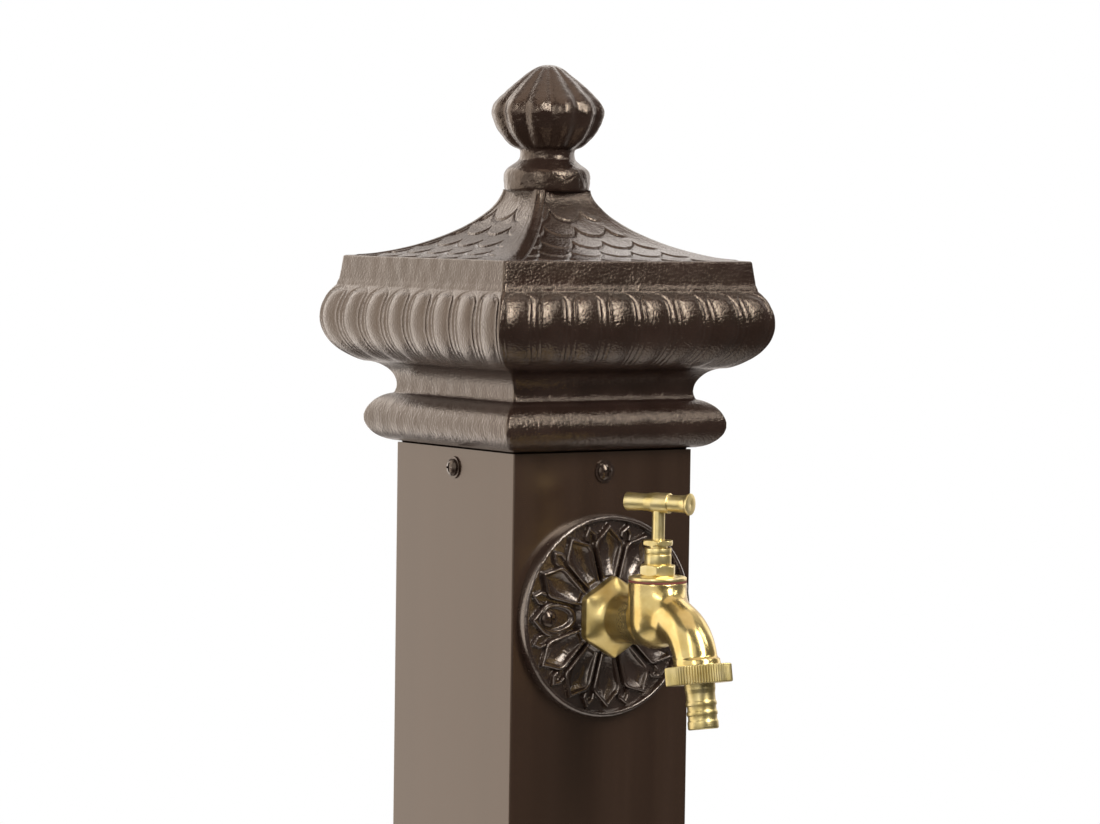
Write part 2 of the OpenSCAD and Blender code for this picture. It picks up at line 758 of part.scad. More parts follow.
module jumper() {
    color(turned_brass) at_chamber(washer_top) {
        cylinder(d = valve_washer_d + 1, h = jumper_t);
        cylinder(d = jumper_pin_d, h = jumper_t + jumper_pin_l);
        translate([0, 0, -valve_washer_t - washer_nut_h])
            cylinder(d = washer_nut_af / 2, h = valve_washer_t + washer_nut_h + jumper_t / 2);
    }
}

module valve_washer() {
    color(rubber) at_chamber(seat_z) ring(valve_washer_d / 2, washer_nut_af / 4 + fit, valve_washer_t);
}

module washer_nut() {
    color(turned_brass) at_chamber(seat_z - washer_nut_h) difference() {
        hexagon(washer_nut_af, washer_nut_h);
        translate([0, 0, -sink]) cylinder(d = washer_nut_af / 2 + 2 * fit, h = washer_nut_h + 2 * sink);
    }
}

module spindle() {
    spindle_z = jumper_top + fit;
    screw_end = screw_top - valve_lift - hole_slack;
    color(turned_brass) at_chamber(0) difference() {
        union() {
            translate([0, 0, spindle_z]) cylinder(d = spindle_d, h = screw_end - spindle_z);
            translate([0, 0, spindle_z]) cylinder(d = stem_d, h = tee_z + stem_grip - spindle_z);
        }
        translate([0, 0, spindle_z - sink])
            cylinder(d = jumper_pin_d + 4 * fit, h = jumper_pin_l + hole_slack + sink);
    }
}

// Tee bar: turned about its own length
module tee_bar() {
    end = tee_l / 2;
    boss = tee_boss_l / 2;
    end_round = 1.2;
    shoulder = 1;
    outline = [[-end, 0], [-end, tee_end_d / 2 - end_round], [-end + end_round, tee_end_d / 2],
               [-boss - shoulder, tee_waist_d / 2], [-boss, tee_boss_d / 2], [boss, tee_boss_d / 2],
               [boss + shoulder, tee_waist_d / 2], [end - end_round, tee_end_d / 2],
               [end, tee_end_d / 2 - end_round], [end, 0]];
    color(turned_brass) at_chamber(tee_z) rotate([0, 0, tee_angle]) difference() {
        rotate([90, 0, 0]) rotate_extrude() polygon([for (p = outline) [p[1], p[0]]]);
        translate([0, 0, -tee_boss_d]) cylinder(d = stem_d + 2 * fit, h = tee_boss_d + stem_grip + fit);
    }
}

// Hose union, measured down the outlet from the start of its thread
thread_slack = 2 * fit;
union_lip = 0.2;
tail_flange_s = outlet_thread_l + union_washer_t;
union_flange_s = tail_flange_s + tail_flange_t;
union_end_s = union_h - union_lip;
union_hole_r = tail_rib_d / 2 + hole_slack;
knurl_deep = 0.5;

module union_nut() {
    knurl = [for (i = [0:2 * union_teeth - 1])
                let (a = 180 * i / union_teeth, r = union_d / 2 - (i % 2) * knurl_deep)
                [r * cos(a), r * sin(a)]];
    color(turned_brass) at_outlet() difference() {
        translate([0, 0, -union_lip]) linear_extrude(union_h) polygon(knurl);
        translate([0, 0, -union_lip - sink])
            cylinder(d = outlet_d + 2 * thread_slack, h = union_flange_s + union_lip + sink);
        translate([0, 0, union_flange_s - sink]) cylinder(r = union_hole_r, h = union_h);
    }
}

module union_washer() {
    color(rubber) at_outlet(outlet_thread_l) ring(outlet_d / 2 - hole_slack, spout_bore_d / 2, union_washer_t);
}

module hose_tail() {
    rib = tail_rib_d / 2;
    plain = tail_d / 2;
    end = union_end_s + tail_l;
    rib_l = 2.3;
    gap_l = 2;
    end_rib_l = 4.2;
    first = end - end_rib_l - 2 * (rib_l + gap_l);
    second = first + rib_l + gap_l;
    last = end - end_rib_l;
    color(turned_brass) at_outlet() difference() {
        rotate_extrude() polygon([
            [0, tail_flange_s], [outlet_d / 2 - hole_slack, tail_flange_s],
            [outlet_d / 2 - hole_slack, union_flange_s], [rib, union_flange_s], [rib, union_end_s + rib_l],
            [plain, union_end_s + 2 * rib_l], [plain, first], [rib, first + rib_l / 3], [rib, first + rib_l],
            [plain, first + rib_l], [plain, second], [rib, second + rib_l / 3], [rib, second + rib_l],
            [plain, second + rib_l], [plain, last], [rib, last + rib_l / 3], [rib, end - 0.5],
            [rib - 0.5, end], [0, end]]);
        translate([0, 0, tail_flange_s - sink]) cylinder(d = tail_bore_d, h = end - tail_flange_s + 2 * sink);
    }
}

// Supply inside the post: lock nut, elbow, riser and foot adaptor
elbow_y = tail_end_y + elbow_grip;
elbow_r = inlet_d / 2 + 3;
leg_r = pipe_d / 2 + 3.5;
socket_l = 14;
olive_h = 4;
olive_r = pipe_d / 2 + 1.4;
adaptor_hex_h = 8;
adaptor_leg_l = 18;
elbow_end_z = tap_z - elbow_leg_l;
foot_end_z = foot_z + adaptor_hex_h / 2 + adaptor_leg_l;
water_r = pipe_d / 2 - pipe_wall;

// Places a compression joint under the elbow and, upside down, over the foot adaptor
module at_pipe_ends() {
    translate([0, elbow_y, elbow_end_z]) children();
    translate([0, elbow_y, foot_end_z]) mirror([0, 0, 1]) children();
}

module lock_nut() {
    color(turned_brass) on_front(tap_z, -post_wall - lock_nut_t) difference() {
        hexagon(lock_nut_af, lock_nut_t);
        translate([0, 0, -sink]) cylinder(d = inlet_d + 2 * fit, h = lock_nut_t + 2 * sink);
    }
}

module elbow() {
    mouth_y = tail_end_y - elbow_grip;
    color(cast_brass) difference() {
        union() {
            front_rod(elbow_y, mouth_y, elbow_r);
            translate([0, elbow_y, tap_z]) sphere(elbow_r);
            translate([0, elbow_y, elbow_end_z]) cylinder(r = leg_r, h = elbow_leg_l);
        }
        front_rod(tail_end_y + hole_slack, mouth_y - sink, inlet_d / 2 + fit);
        front_rod(elbow_y, tail_end_y, water_r);
        translate([0, elbow_y, elbow_end_z - sink]) cylinder(d = pipe_d + 2 * fit, h = socket_l + sink + fit);
        translate([0, elbow_y, elbow_end_z]) cylinder(r = water_r, h = elbow_leg_l);
        translate([0, elbow_y, tap_z]) sphere(water_r);
    }
}

module compression_nuts() {
    flange = 3;
    color(cast_brass) at_pipe_ends() translate([0, 0, -olive_h - flange]) difference() {
        hexagon(pipe_nut_af, pipe_nut_h);
        translate([0, 0, flange]) cylinder(r = leg_r + fit, h = pipe_nut_h);
        translate([0, 0, -sink]) cylinder(d = pipe_d + 2 * fit, h = flange + 2 * sink);
    }
}

module olives() {
    color(turned_brass) at_pipe_ends() translate([0, 0, -olive_h]) ring(olive_r, pipe_d / 2 + fit, olive_h);
}

module riser_pipe() {
    low = foot_end_z - socket_l;
    color(copper) translate([0, elbow_y, low])
        ring(pipe_d / 2, water_r, elbow_end_z + socket_l - low);
}

module inlet_adaptor() {
    hex_z = foot_z - adaptor_hex_h / 2;
    low = hex_z - foot_thread_l;
    color(cast_brass) translate([0, elbow_y, 0]) difference() {
        union() {
            translate([0, 0, low]) cylinder(d = inlet_d, h = foot_thread_l + sink);
            translate([0, 0, hex_z]) hexagon(pipe_nut_af, adaptor_hex_h);
            translate([0, 0, hex_z]) cylinder(r = leg_r, h = foot_end_z - hex_z);
        }
        translate([0, 0, low - sink]) cylinder(r = water_r, h = foot_end_z - low + 2 * sink);
        translate([0, 0, foot_end_z - socket_l - fit]) cylinder(d = pipe_d + 2 * fit, h = socket_l + 2 * sink);
    }
}

post();
cap();
cap_screws();
cap_washers();
base_plinth();
base_screws();
base_washers();
rosette();
rosette_screws();
tap_body();
bonnet_washer();
bonnet();
gland_packing();
gland_nut();
spindle();
tee_bar();
jumper();
valve_washer();
washer_nut();
union_nut();
union_washer();
hose_tail();
lock_nut();
elbow();
compression_nuts();
olives();
riser_pipe();
inlet_adaptor();
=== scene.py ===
"""Looks of the garden standpipe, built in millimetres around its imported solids."""

import json
import math

import bpy
import numpy as np
from mathutils import Matrix, Vector


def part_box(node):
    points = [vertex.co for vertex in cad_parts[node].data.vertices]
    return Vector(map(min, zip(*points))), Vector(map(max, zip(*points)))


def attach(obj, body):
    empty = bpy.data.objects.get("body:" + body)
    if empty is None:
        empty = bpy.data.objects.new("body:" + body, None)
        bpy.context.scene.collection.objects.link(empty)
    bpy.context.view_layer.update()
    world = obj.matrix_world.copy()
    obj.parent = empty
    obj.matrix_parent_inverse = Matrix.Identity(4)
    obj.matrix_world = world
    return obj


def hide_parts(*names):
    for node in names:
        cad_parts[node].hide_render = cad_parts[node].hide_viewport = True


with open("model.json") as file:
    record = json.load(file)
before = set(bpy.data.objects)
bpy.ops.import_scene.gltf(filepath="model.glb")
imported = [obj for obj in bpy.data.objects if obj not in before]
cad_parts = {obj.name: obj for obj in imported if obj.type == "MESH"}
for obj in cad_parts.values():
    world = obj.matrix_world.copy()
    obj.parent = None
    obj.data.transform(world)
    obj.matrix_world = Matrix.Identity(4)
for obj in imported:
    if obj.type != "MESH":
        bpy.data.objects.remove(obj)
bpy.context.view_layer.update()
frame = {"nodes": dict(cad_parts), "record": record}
nodes = frame["nodes"]
MM = 0.001

# Places taken from the frame, in mm
POST_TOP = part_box("post")[1].z / MM
ROSETTE_LOW, ROSETTE_HIGH = (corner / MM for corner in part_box("rosette"))
TAP_Z = (ROSETTE_LOW.z + ROSETTE_HIGH.z) / 2
FACE_Y = ROSETTE_HIGH.y
PLINTH_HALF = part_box("base_plinth")[1].x / MM
CHAMBER_Y = (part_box("bonnet_washer")[0].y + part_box("bonnet_washer")[1].y) / 2 / MM
CHAMBER_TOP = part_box("bonnet_washer")[0].z / MM
BONNET_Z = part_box("bonnet_washer")[1].z / MM
TEE_Z = (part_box("tee_bar")[0].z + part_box("tee_bar")[1].z) / 2 / MM


# Mesh helpers
CORNER_STEPS = (0, 0.22, 0.55)
WAVES = 14
WAVE_SPREAD = (0.7, 1.5)
EASE_STEPS = 3
EASE_SHARE = 0.45


def new_piece(name, points, faces, node, material, crease, body="standpipe"):
    """A piece for one node, from points in mm and blocks of triangles or quads."""
    mesh = bpy.data.meshes.new(name)
    corners = np.concatenate([block.ravel() for block in faces]).astype(np.int32)
    sizes = np.concatenate([np.full(len(block), block.shape[1], np.int32) for block in faces])
    mesh.vertices.add(len(points))
    mesh.vertices.foreach_set("co", (points * MM).astype(np.float32).ravel())
    mesh.loops.add(len(corners))
    mesh.loops.foreach_set("vertex_index", corners)
    mesh.polygons.add(len(sizes))
    mesh.polygons.foreach_set("loop_start", (np.cumsum(sizes) - sizes).astype(np.int32))
    mesh.update(calc_edges=True)
    mesh.validate()
    mesh.shade_smooth()
    mesh.set_sharp_from_angle(angle=math.radians(crease))
    piece = bpy.data.objects.new(name, mesh)
    bpy.context.collection.objects.link(piece)
    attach(piece, body)
    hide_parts(node)
    piece.data.materials.append(material)
    return piece


def skin(rings, closed=False):
    """Points and faces over rings of points; the ends get a fan, or the last ring joins the first."""
    count, around = rings.shape[:2]
    index = np.arange(count * around).reshape(count, around)
    walk = np.vstack([index, index[:1]]) if closed else index
    low, high = walk[:-1], walk[1:]
    quads = np.stack([low, np.roll(low, -1, 1), np.roll(high, -1, 1), high], -1).reshape(-1, 4)
    points = rings.reshape(-1, 3)
    if closed:
        return points, [quads]
    first, last = index[0], index[-1]
    ends = np.array([rings[0].mean(0), rings[-1].mean(0)])
    tip = np.full(around, count * around)
    fans = np.vstack([np.stack([tip, np.roll(first, -1), first], -1),
                      np.stack([tip + 1, last, np.roll(last, -1)], -1)])
    return np.vstack([points, ends]), [quads, fans]


def smooth(low, high, value):
    """A smooth step from 0 at low to 1 at high."""
    t = np.clip((value - low) / (high - low), 0, 1)
    return t * t * (3 - 2 * t)


def dome(t):
    """A round back: 0 at t = -1 and 1, 1 at t = 0."""
    return np.sqrt(np.clip(1 - t * t, 0, 1))


def arc(half, height, radius, start, end, count):
    """Places (half width, height) along an arc between two angles in degrees."""
    a = np.radians(np.linspace(start, end, count))
    return np.column_stack([half + radius * np.cos(a), height + radius * np.sin(a)])


def sides_apart(count, corner_share):
    """Places from 0 to 1 along one side, closer together at both corners."""
    near = corner_share * np.array(CORNER_STEPS)
    inner = np.linspace(corner_share, 1 - corner_share, count - 2 * len(near) + 1)
    return np.concatenate([near, inner, 1 - near[:0:-1]])


def square_rings(half, height, share, corner_r):
    """Rings round a square with rounded corners; half and height are given per ring and place."""
    across = (2 * share - 1) * half
    bend = np.clip((np.abs(across) - half + corner_r) / corner_r, 0, 1) * (math.pi / 4)
    flat = bend <= 0
    x = np.where(flat, across, np.sign(across) * (half - corner_r + corner_r * np.sin(bend)))
    y = np.where(flat, -half, -(half - corner_r + corner_r * np.cos(bend)))
    turns = [(x, y), (-y, x), (-x, -y), (y, -x)]
    return np.concatenate([np.stack([px, py, height], -1) for px, py in turns], 1)


def lumps(points, size, seed):
    """Soft unevenness of a sand casting, from -1 to 1, made of crossed waves."""
    draw = np.random.default_rng(seed)
    total = np.zeros(points.shape[:-1])
    for _ in range(WAVES):
        way = draw.normal(size=3)
        way *= draw.uniform(*WAVE_SPREAD) * 2 * math.pi / size / np.linalg.norm(way)
        total += np.sin(points @ way + draw.uniform(0, 2 * math.pi))
    return total / math.sqrt(WAVES)


def turned(profile, around, radius_at=None):
    """Rings of a turned piece about +Z from (radius, height) pairs; radius_at may cut flats or teeth."""
    angle = np.linspace(0, 2 * math.pi, around, endpoint=False)
    rings = []
    for radius, height in profile:
        r = np.full(around, float(radius))
        if radius_at is not None:
            r = np.minimum(r, radius_at(angle, height))
        rings.append(np.stack([r * np.cos(angle), r * np.sin(angle), np.full(around, height)], -1))
    return np.array(rings)


def eased(outline, reach):
    """A closed (radius, height) outline with each corner rounded off over a short reach."""
    outline = np.array(outline, float)
    made = []
    for i, corner in enumerate(outline):
        before, after = outline[i - 1] - corner, outline[(i + 1) % len(outline)] - corner
        near = min(reach, np.linalg.norm(before) * EASE_SHARE)
        far = min(reach, np.linalg.norm(after) * EASE_SHARE)
        a = corner + before / np.linalg.norm(before) * near
        b = corner + after / np.linalg.norm(after) * far
        for t in np.linspace(0, 1, EASE_STEPS):
            made.append((1 - t) ** 2 * a + 2 * t * (1 - t) * corner + t * t * b)
    return made


def placed(points, origin, axis):
    """Points about +Z moved to an origin, with +Z laid along the axis."""
    spin = np.array(Vector((0, 0, 1)).rotation_difference(Vector(axis)).to_matrix())
    return points @ spin.T + np.array(origin)


def without_loose(points, faces):
    """The same faces without points that no face uses."""
    used = np.unique(np.concatenate([block.ravel() for block in faces]))
    number = np.zeros(len(points), int)
    number[used] = np.arange(len(used))
    return points[used], [number[block] for block in faces]


def join(a, b, k):
    """The lower of two fields, blended over about k mm: a smooth union of distance fields."""
    h = np.clip(0.5 + 0.5 * (b - a) / k, 0, 1)
    return b + (a - b) * h - k * h * (1 - h)


def cut(a, b, k):
    """Smooth difference: a without b."""
    return -join(-a, b, k)


def common(a, b, k):
    """Smooth overlap: what a and b share."""
    return -join(-a, -b, k)


# Materials
NOISE_ROUGHNESS = 0.55
PAINT_BROWN = (0.036, 0.019, 0.012)
PAINT_SHEEN = (1.0, 0.8, 0.62, 1)
PAINT_GLOSS = 0.78
COAT_ROUGHNESS = 0.23
FILE_MARKS_END = (POST_TOP + 18, POST_TOP + 23)
NECK_SATIN_START = (CHAMBER_Y + 10, CHAMBER_Y + 18)
NECK_SATIN = 0.12


def new_material(name, colour, roughness, metallic=0.0):
    """A material with its node tree and its shader; textures may take over the plain values."""
    mat = bpy.data.materials.new(name)
    mat.use_nodes = True
    shader = mat.node_tree.nodes["Principled BSDF"]
    shader.inputs["Metallic"].default_value = metallic
    shader.inputs["Base Color"].default_value = (*colour, 1)
    shader.inputs["Roughness"].default_value = roughness
    mat.diffuse_color = (*colour, 1)
    return mat, mat.node_tree, shader


def node_of(tree, kind, settings=(), **inputs):
    made = tree.nodes.new(kind)
    for key, value in dict(settings).items():
        setattr(made, key, value)
    for key, value in inputs.items():
        made.inputs[key].default_value = value
    return made


def coordinates(tree, stretch=(1, 1, 1)):
    place = node_of(tree, "ShaderNodeTexCoord")
    mapping = node_of(tree, "ShaderNodeMapping", Scale=stretch)
    tree.links.new(place.outputs["Object"], mapping.inputs["Vector"])
    return mapping.outputs["Vector"]


def noise(tree, where, scale, detail):
    made = node_of(tree, "ShaderNodeTexNoise", Scale=scale, Detail=detail, Roughness=NOISE_ROUGHNESS)
    tree.links.new(where, made.inputs["Vector"])
    return made.outputs["Fac"]


def spread(tree, value, low, high, start=0.3, end=0.7):
    """The value's range start to end drawn out to low to high."""
    made = tree.nodes.new("ShaderNodeMapRange")
    for key, number in zip(("From Min", "From Max", "To Min", "To Max"), (start, end, low, high)):
        made.inputs[key].default_value = number
    tree.links.new(value, made.inputs["Value"])
    return made.outputs["Result"]


def tones(tree, value, colours, places):
    ramp = tree.nodes.new("ShaderNodeValToRGB")
    marks = ramp.color_ramp.elements
    while len(marks) < len(colours):
        marks.new(0.5)
    for mark, colour, place in zip(marks, colours, places):
        mark.position = place
        mark.color = (*colour, 1)
    tree.links.new(value, ramp.inputs["Fac"])
    return ramp.outputs["Color"]


def bumped(tree, shader, layers):
    """Bump layers (height, strength, distance in mm) in a chain on the shader's normal."""
    below = None
    for height, strength, distance in layers:
        made = node_of(tree, "ShaderNodeBump", Strength=strength, Distance=distance * MM)
        tree.links.new(height, made.inputs["Height"])
        if below is not None:
            tree.links.new(below, made.inputs["Normal"])
        below = made.outputs["Normal"]
    tree.links.new(below, shader.inputs["Normal"])


def along_axis(tree, axis, low, high, start, end):
    """A value that goes from low to high between two places on one axis, in mm."""
    place = node_of(tree, "ShaderNodeTexCoord")
    apart = node_of(tree, "ShaderNodeSeparateXYZ")
    tree.links.new(place.outputs["Object"], apart.inputs["Vector"])
    return spread(tree, apart.outputs[axis], low, high, start * MM, end * MM)


def combined(tree, operation, first, second):
    made = node_of(tree, "ShaderNodeMath", {"operation": operation})
    tree.links.new(first, made.inputs[0])
    tree.links.new(second, made.inputs[1])
    return made.outputs["Value"]


def glossy(shader, gloss):
    """The warm mirror of brown paint."""
    shader.inputs["Specular Tint"].default_value = PAINT_SHEEN
    shader.inputs["Specular IOR Level"].default_value = gloss


def cast_paint(name, rough, grain_depth, gloss, coat):
    """Dark brown gloss over a sand casting, with file marks from the cap's roll downwards."""
    mat, tree, shader = new_material(name, PAINT_BROWN, sum(rough) / 2)
    where = coordinates(tree)
    patches = noise(tree, where, 45, 4)
    grain = noise(tree, where, 640, 3)
    pits = noise(tree, where, 1000, 2)
    filing = noise(tree, coordinates(tree, (1, 1, 0.1)), 700, 2)
    marks = combined(tree, "MULTIPLY", filing, along_axis(tree, "Z", 1, 0, *FILE_MARKS_END))
    colours = ((0.0128, 0.0067, 0.0048), (0.0184, 0.0099, 0.0073), (0.0266, 0.0154, 0.0114))
    tree.links.new(tones(tree, patches, colours, (0.3, 0.5, 0.72)), shader.inputs["Base Color"])
    tree.links.new(spread(tree, grain, *rough), shader.inputs["Roughness"])
    glossy(shader, gloss)
    shader.inputs["Coat Weight"].default_value = coat
    shader.inputs["Coat Roughness"].default_value = COAT_ROUGHNESS
    bumped(tree, shader, [(patches, 0.07, 1.0), (marks, grain_depth, 0.3),
                          (grain, grain_depth, 0.26), (pits, 1.5 * grain_depth, 0.26)])
    return mat


def post_paint():
    """The same brown on smooth tube, with faint upright marks."""
    mat, tree, shader = new_material("paint_on_tube", PAINT_BROWN, 0.24)
    streaks = noise(tree, coordinates(tree, (1, 1, 0.035)), 55, 4)
    peel = noise(tree, coordinates(tree), 260, 2)
    colours = ((0.021, 0.0109, 0.0069), (0.0258, 0.0137, 0.0085), (0.0306, 0.0165, 0.0109))
    tree.links.new(tones(tree, streaks, colours, (0.3, 0.5, 0.7)), shader.inputs["Base Color"])
    tree.links.new(spread(tree, streaks, 0.21, 0.28), shader.inputs["Roughness"])
    glossy(shader, PAINT_GLOSS)
    bumped(tree, shader, [(streaks, 0.08, 0.3), (peel, 0.05, 0.2)])
    return mat


def screw_paint():
    """The same brown on small pressed heads, with a fine grain."""
    mat, tree, shader = new_material("paint_on_screws", (0.04, 0.026, 0.02), 0.35)
    grain = noise(tree, coordinates(tree), 900, 3)
    colours = ((0.014, 0.008, 0.006), (0.028, 0.0175, 0.0135))
    tree.links.new(tones(tree, grain, colours, (0.35, 0.65)), shader.inputs["Base Color"])
    tree.links.new(spread(tree, grain, 0.14, 0.25), shader.inputs["Roughness"])
    glossy(shader, PAINT_GLOSS)
    bumped(tree, shader, [(grain, 0.2, 0.15)])
    return mat


def cast_brass():
    """Golden casting with soft unevenness, buffed on the chamber and satin on the neck behind it."""
    mat, tree, shader = new_material("brass_casting", (0.79, 0.59, 0.24), 0.23, 0.93)
    where = coordinates(tree)
    patches = noise(tree, where, 90, 3)
    scratches = noise(tree, where, 1400, 2)
    colours = ((0.48, 0.33, 0.1), (0.55, 0.41, 0.155), (0.62, 0.485, 0.215))
    tree.links.new(tones(tree, patches, colours, (0.3, 0.5, 0.72)), shader.inputs["Base Color"])
    buffed = spread(tree, scratches, 0.16, 0.27)
    unbuffed = along_axis(tree, "Y", 0, NECK_SATIN, *NECK_SATIN_START)
    tree.links.new(combined(tree, "ADD", buffed, unbuffed), shader.inputs["Roughness"])
    bumped(tree, shader, [(patches, 0.12, 1.0), (scratches, 0.05, 0.1)])
    return mat


def turned_brass(name, axis, colours):
    """Pale satin brass with fine turning rings round the axis."""
    mat, tree, shader = new_material(name, (0.76, 0.62, 0.3), 0.36, 1.0)
    place = node_of(tree, "ShaderNodeTexCoord")
    along = node_of(tree, "ShaderNodeVectorMath", {"operation": "DOT_PRODUCT"})
    along.inputs[1].default_value = axis
    tree.links.new(place.outputs["Object"], along.inputs[0])
    rings = node_of(tree, "ShaderNodeTexNoise", {"noise_dimensions": "1D"}, Scale=3200, Detail=2.0)
    tree.links.new(along.outputs["Value"], rings.inputs["W"])
    patches = noise(tree, coordinates(tree), 160, 2)
    tree.links.new(tones(tree, patches, colours, (0.3, 0.5, 0.7)), shader.inputs["Base Color"])
    tree.links.new(spread(tree, rings.outputs["Fac"], 0.3, 0.44), shader.inputs["Roughness"])
    bumped(tree, shader, [(rings.outputs["Fac"], 0.12, 0.06)])
    return mat


def plain_finish(name, dark, light, scale, rough, metallic=0.0):
    """A mottled finish for small and hidden pieces."""
    middle = tuple((a + b) / 2 for a, b in zip(dark, light))
    mat, tree, shader = new_material(name, middle, sum(rough) / 2, metallic)
    grain = noise(tree, coordinates(tree), scale, 4)
    tree.links.new(tones(tree, grain, (dark, light), (0.3, 0.7)), shader.inputs["Base Color"])
    tree.links.new(spread(tree, grain, *rough), shader.inputs["Roughness"])
    bumped(tree, shader, [(grain, 0.25, 0.15)])
    return mat


OUTLET_TILT = math.radians(10)
OUTLET_WAY = np.array([0.0, -math.sin(OUTLET_TILT), -math.cos(OUTLET_TILT)])
TEE_TURN = math.radians(27)
TEE_WAY = np.array([math.sin(TEE_TURN), -math.cos(TEE_TURN), 0.0])
CAST_PAINT = cast_paint("paint_on_casting", (0.1, 0.19), 0.55, PAINT_GLOSS, 0.0)
ROSETTE_PAINT = cast_paint("paint_on_rosette", (0.17, 0.28), 0.32, 1.0, 0.8)
CAST_BRASS = cast_brass()
PALE_BRASS = ((0.67, 0.52, 0.2), (0.75, 0.61, 0.28), (0.81, 0.67, 0.355))
DULL_BRASS = ((0.43, 0.33, 0.125), (0.495, 0.395, 0.17), (0.55, 0.45, 0.225))
UPRIGHT_BRASS = turned_brass("brass_turned_upright", (0, 0, 1), PALE_BRASS)
OUTLET_BRASS = turned_brass("brass_turned_outlet", tuple(OUTLET_WAY), DULL_BRASS)
HANDLE_BRASS = turned_brass("brass_turned_handle", tuple(TEE_WAY), PALE_BRASS)
MATERIALS = {
    "post_paint": post_paint(),
    "screw_paint": screw_paint(),
    "cast_paint": CAST_PAINT,
    "cast_brass": CAST_BRASS,
    "turned_brass": UPRIGHT_BRASS,
    "black_rubber": plain_finish("rubber", (0.012, 0.012, 0.012), (0.03, 0.03, 0.03), 700, (0.6, 0.8)),
    "red_fibre": plain_finish("fibre", (0.13, 0.022, 0.014), (0.2, 0.045, 0.03), 900, (0.6, 0.8)),
    "packing": plain_finish("packing_yarn", (0.4, 0.37, 0.3), (0.58, 0.54, 0.46), 1100, (0.75, 0.9)),
    "copper_pipe": plain_finish("copper", (0.5, 0.21, 0.1), (0.64, 0.32, 0.18), 130, (0.25, 0.4), 1.0),
}
for subpart in frame["record"]["subparts"]:
    shown = nodes[subpart["node"]]
    shown.data.materials.clear()
    shown.data.materials.append(MATERIALS[subpart["material_slot"]])


# Cap: one casting from the roll on the post up to the tip of the bud
CAP_CORNER_R = 1.3
HIP_ROUND = 0.8
HIP_ROUND_END = 9
HIP_BAND = 3.4
HIP_WIDENING = 0.075
HIP_STEPS = (0, 0.5, 1.1, 1.8, 2.7)
TONGUES = 8
TONGUE_SHARE = 0.375
TONGUE_PLACES = (0, 0.03, 0.06, 0.095, 0.125, 0.145, 0.165, 0.195, 0.26, 0.34, 0.42)
BELLY_EDGE = 0.1
BELLY_RISE = 1.05
ARCH_TOP = 2.2
ARCH_FLAT = 0.7
ARCH_FADE = 2.0
OUTLINE_RISE = 0.42
OUTLINE_HALF = 0.55
DART_RISE = 0.28
DART_HALF = 0.95
FIELD_EDGE = (0.2, 1.4)
TONGUE_HEAD, TONGUE_FOOT = 1.0, 8
SHALLOW_DOWN = (10, 30)
SHALLOW_SHARE = 0.45
BULGE = (56.306, 59.55, 22.0)
BULGE_TOP, BULGE_FOOT = 46, -75
ROOF_HALF, ROOF_RUN = 69.19, 53.7
ROOF_TOP, ROOF_RISE = 120.28, 32
ROOF_CURVE = 1.21
ROOF_START = 0.4
ROOF_ROWS = 112
ROW_PITCH = 12.1
SCALE_W = 17.2
SCALE_R = 8.75
SCALE_ROWS = 5
SCALE_START = 0.6
SCALE_SHIFT = -3.8
SCALE_RISE = 0.9
SCALE_BACK = 0.75
SCALE_LEVEL = 0.8
LIP_ROUND = 0.5
CRESCENT = 3.2
CRESCENT_DEPTH = 0.7
BEAD_HALF = 0.8
BEAD_RISE = 0.5
BEAD_WORN = 0.1
BEAD_START = (0.5, 2.0)
BEAD_STEPS = (-1.4, 2.4, 10)
PLAIN_EXTRA = 7.5
PLAIN_EDGE = 2
FADE_FOOT = (0.4, 1.4)
FADE_TOP = (2, 13)
BUD_LOBES = 12
BUD_AROUND = 288
BUD_R = 26
BUD_FOOT = (138.4, 140.5)
BUD_SWELL = 0.035
CREASE_DEPTH = 3.0
CREASE_TOP, CREASE_ROUND = 1.16, 0.16
BUD_ROUGH = 1.8
BROAD_LUMPS = 0.07
SMALL_LUMPS = 0.04
LUMPS_INSET = 0.12


def side_places():
    """Places from 0 to 1 along one side of the cap, close together at the edges of its tongues."""
    half = np.array(TONGUE_PLACES)
    one = np.concatenate([half, [0.5], 1 - half[:0:-1]])
    return np.concatenate([(k + one) / TONGUES for k in range(TONGUES)])


def tongue_relief(share, half, down, length):
    """Depth below the bulge's skin: outlined tongues with arched tops and a thin dart between them."""
    pitch = 2 * half / TONGUES
    x = (np.mod(share[None, :] * TONGUES, 1) - 0.5) * pitch
    wide = TONGUE_SHARE * pitch
    arch = ARCH_TOP + ARCH_FLAT * wide
    over = np.hypot(x, (down - arch) / ARCH_FLAT)
    inside = np.where(down < arch, wide - over, wide - np.abs(x))
    outline = OUTLINE_RISE * dome((inside - OUTLINE_HALF) / OUTLINE_HALF)
    belly_in = np.clip((inside - 2 * OUTLINE_HALF) / (wide - 2 * OUTLINE_HALF), 0, 1)
    belly = BELLY_EDGE + (BELLY_RISE - BELLY_EDGE) * (1 - (1 - belly_in) ** 2)
    dart = DART_RISE * dome((pitch / 2 - np.abs(x)) / DART_HALF)
    above = smooth(arch + ARCH_FADE, arch - ARCH_FADE, down)
    field = OUTLINE_RISE * smooth(*FIELD_EDGE, -inside)
    rise = np.where(inside > 0, np.maximum(outline, belly), field * above + dart * (1 - above))
    fade = smooth(0, TONGUE_HEAD, down) * smooth(0, TONGUE_FOOT, length - down)
    fade = fade * (1 - SHALLOW_SHARE * smooth(*SHALLOW_DOWN, down))
    return (rise - BELLY_RISE) * fade


def hip_band(up, length):
    """Width of the plain band beside each hip."""
    return HIP_BAND + HIP_WIDENING * (length - up)


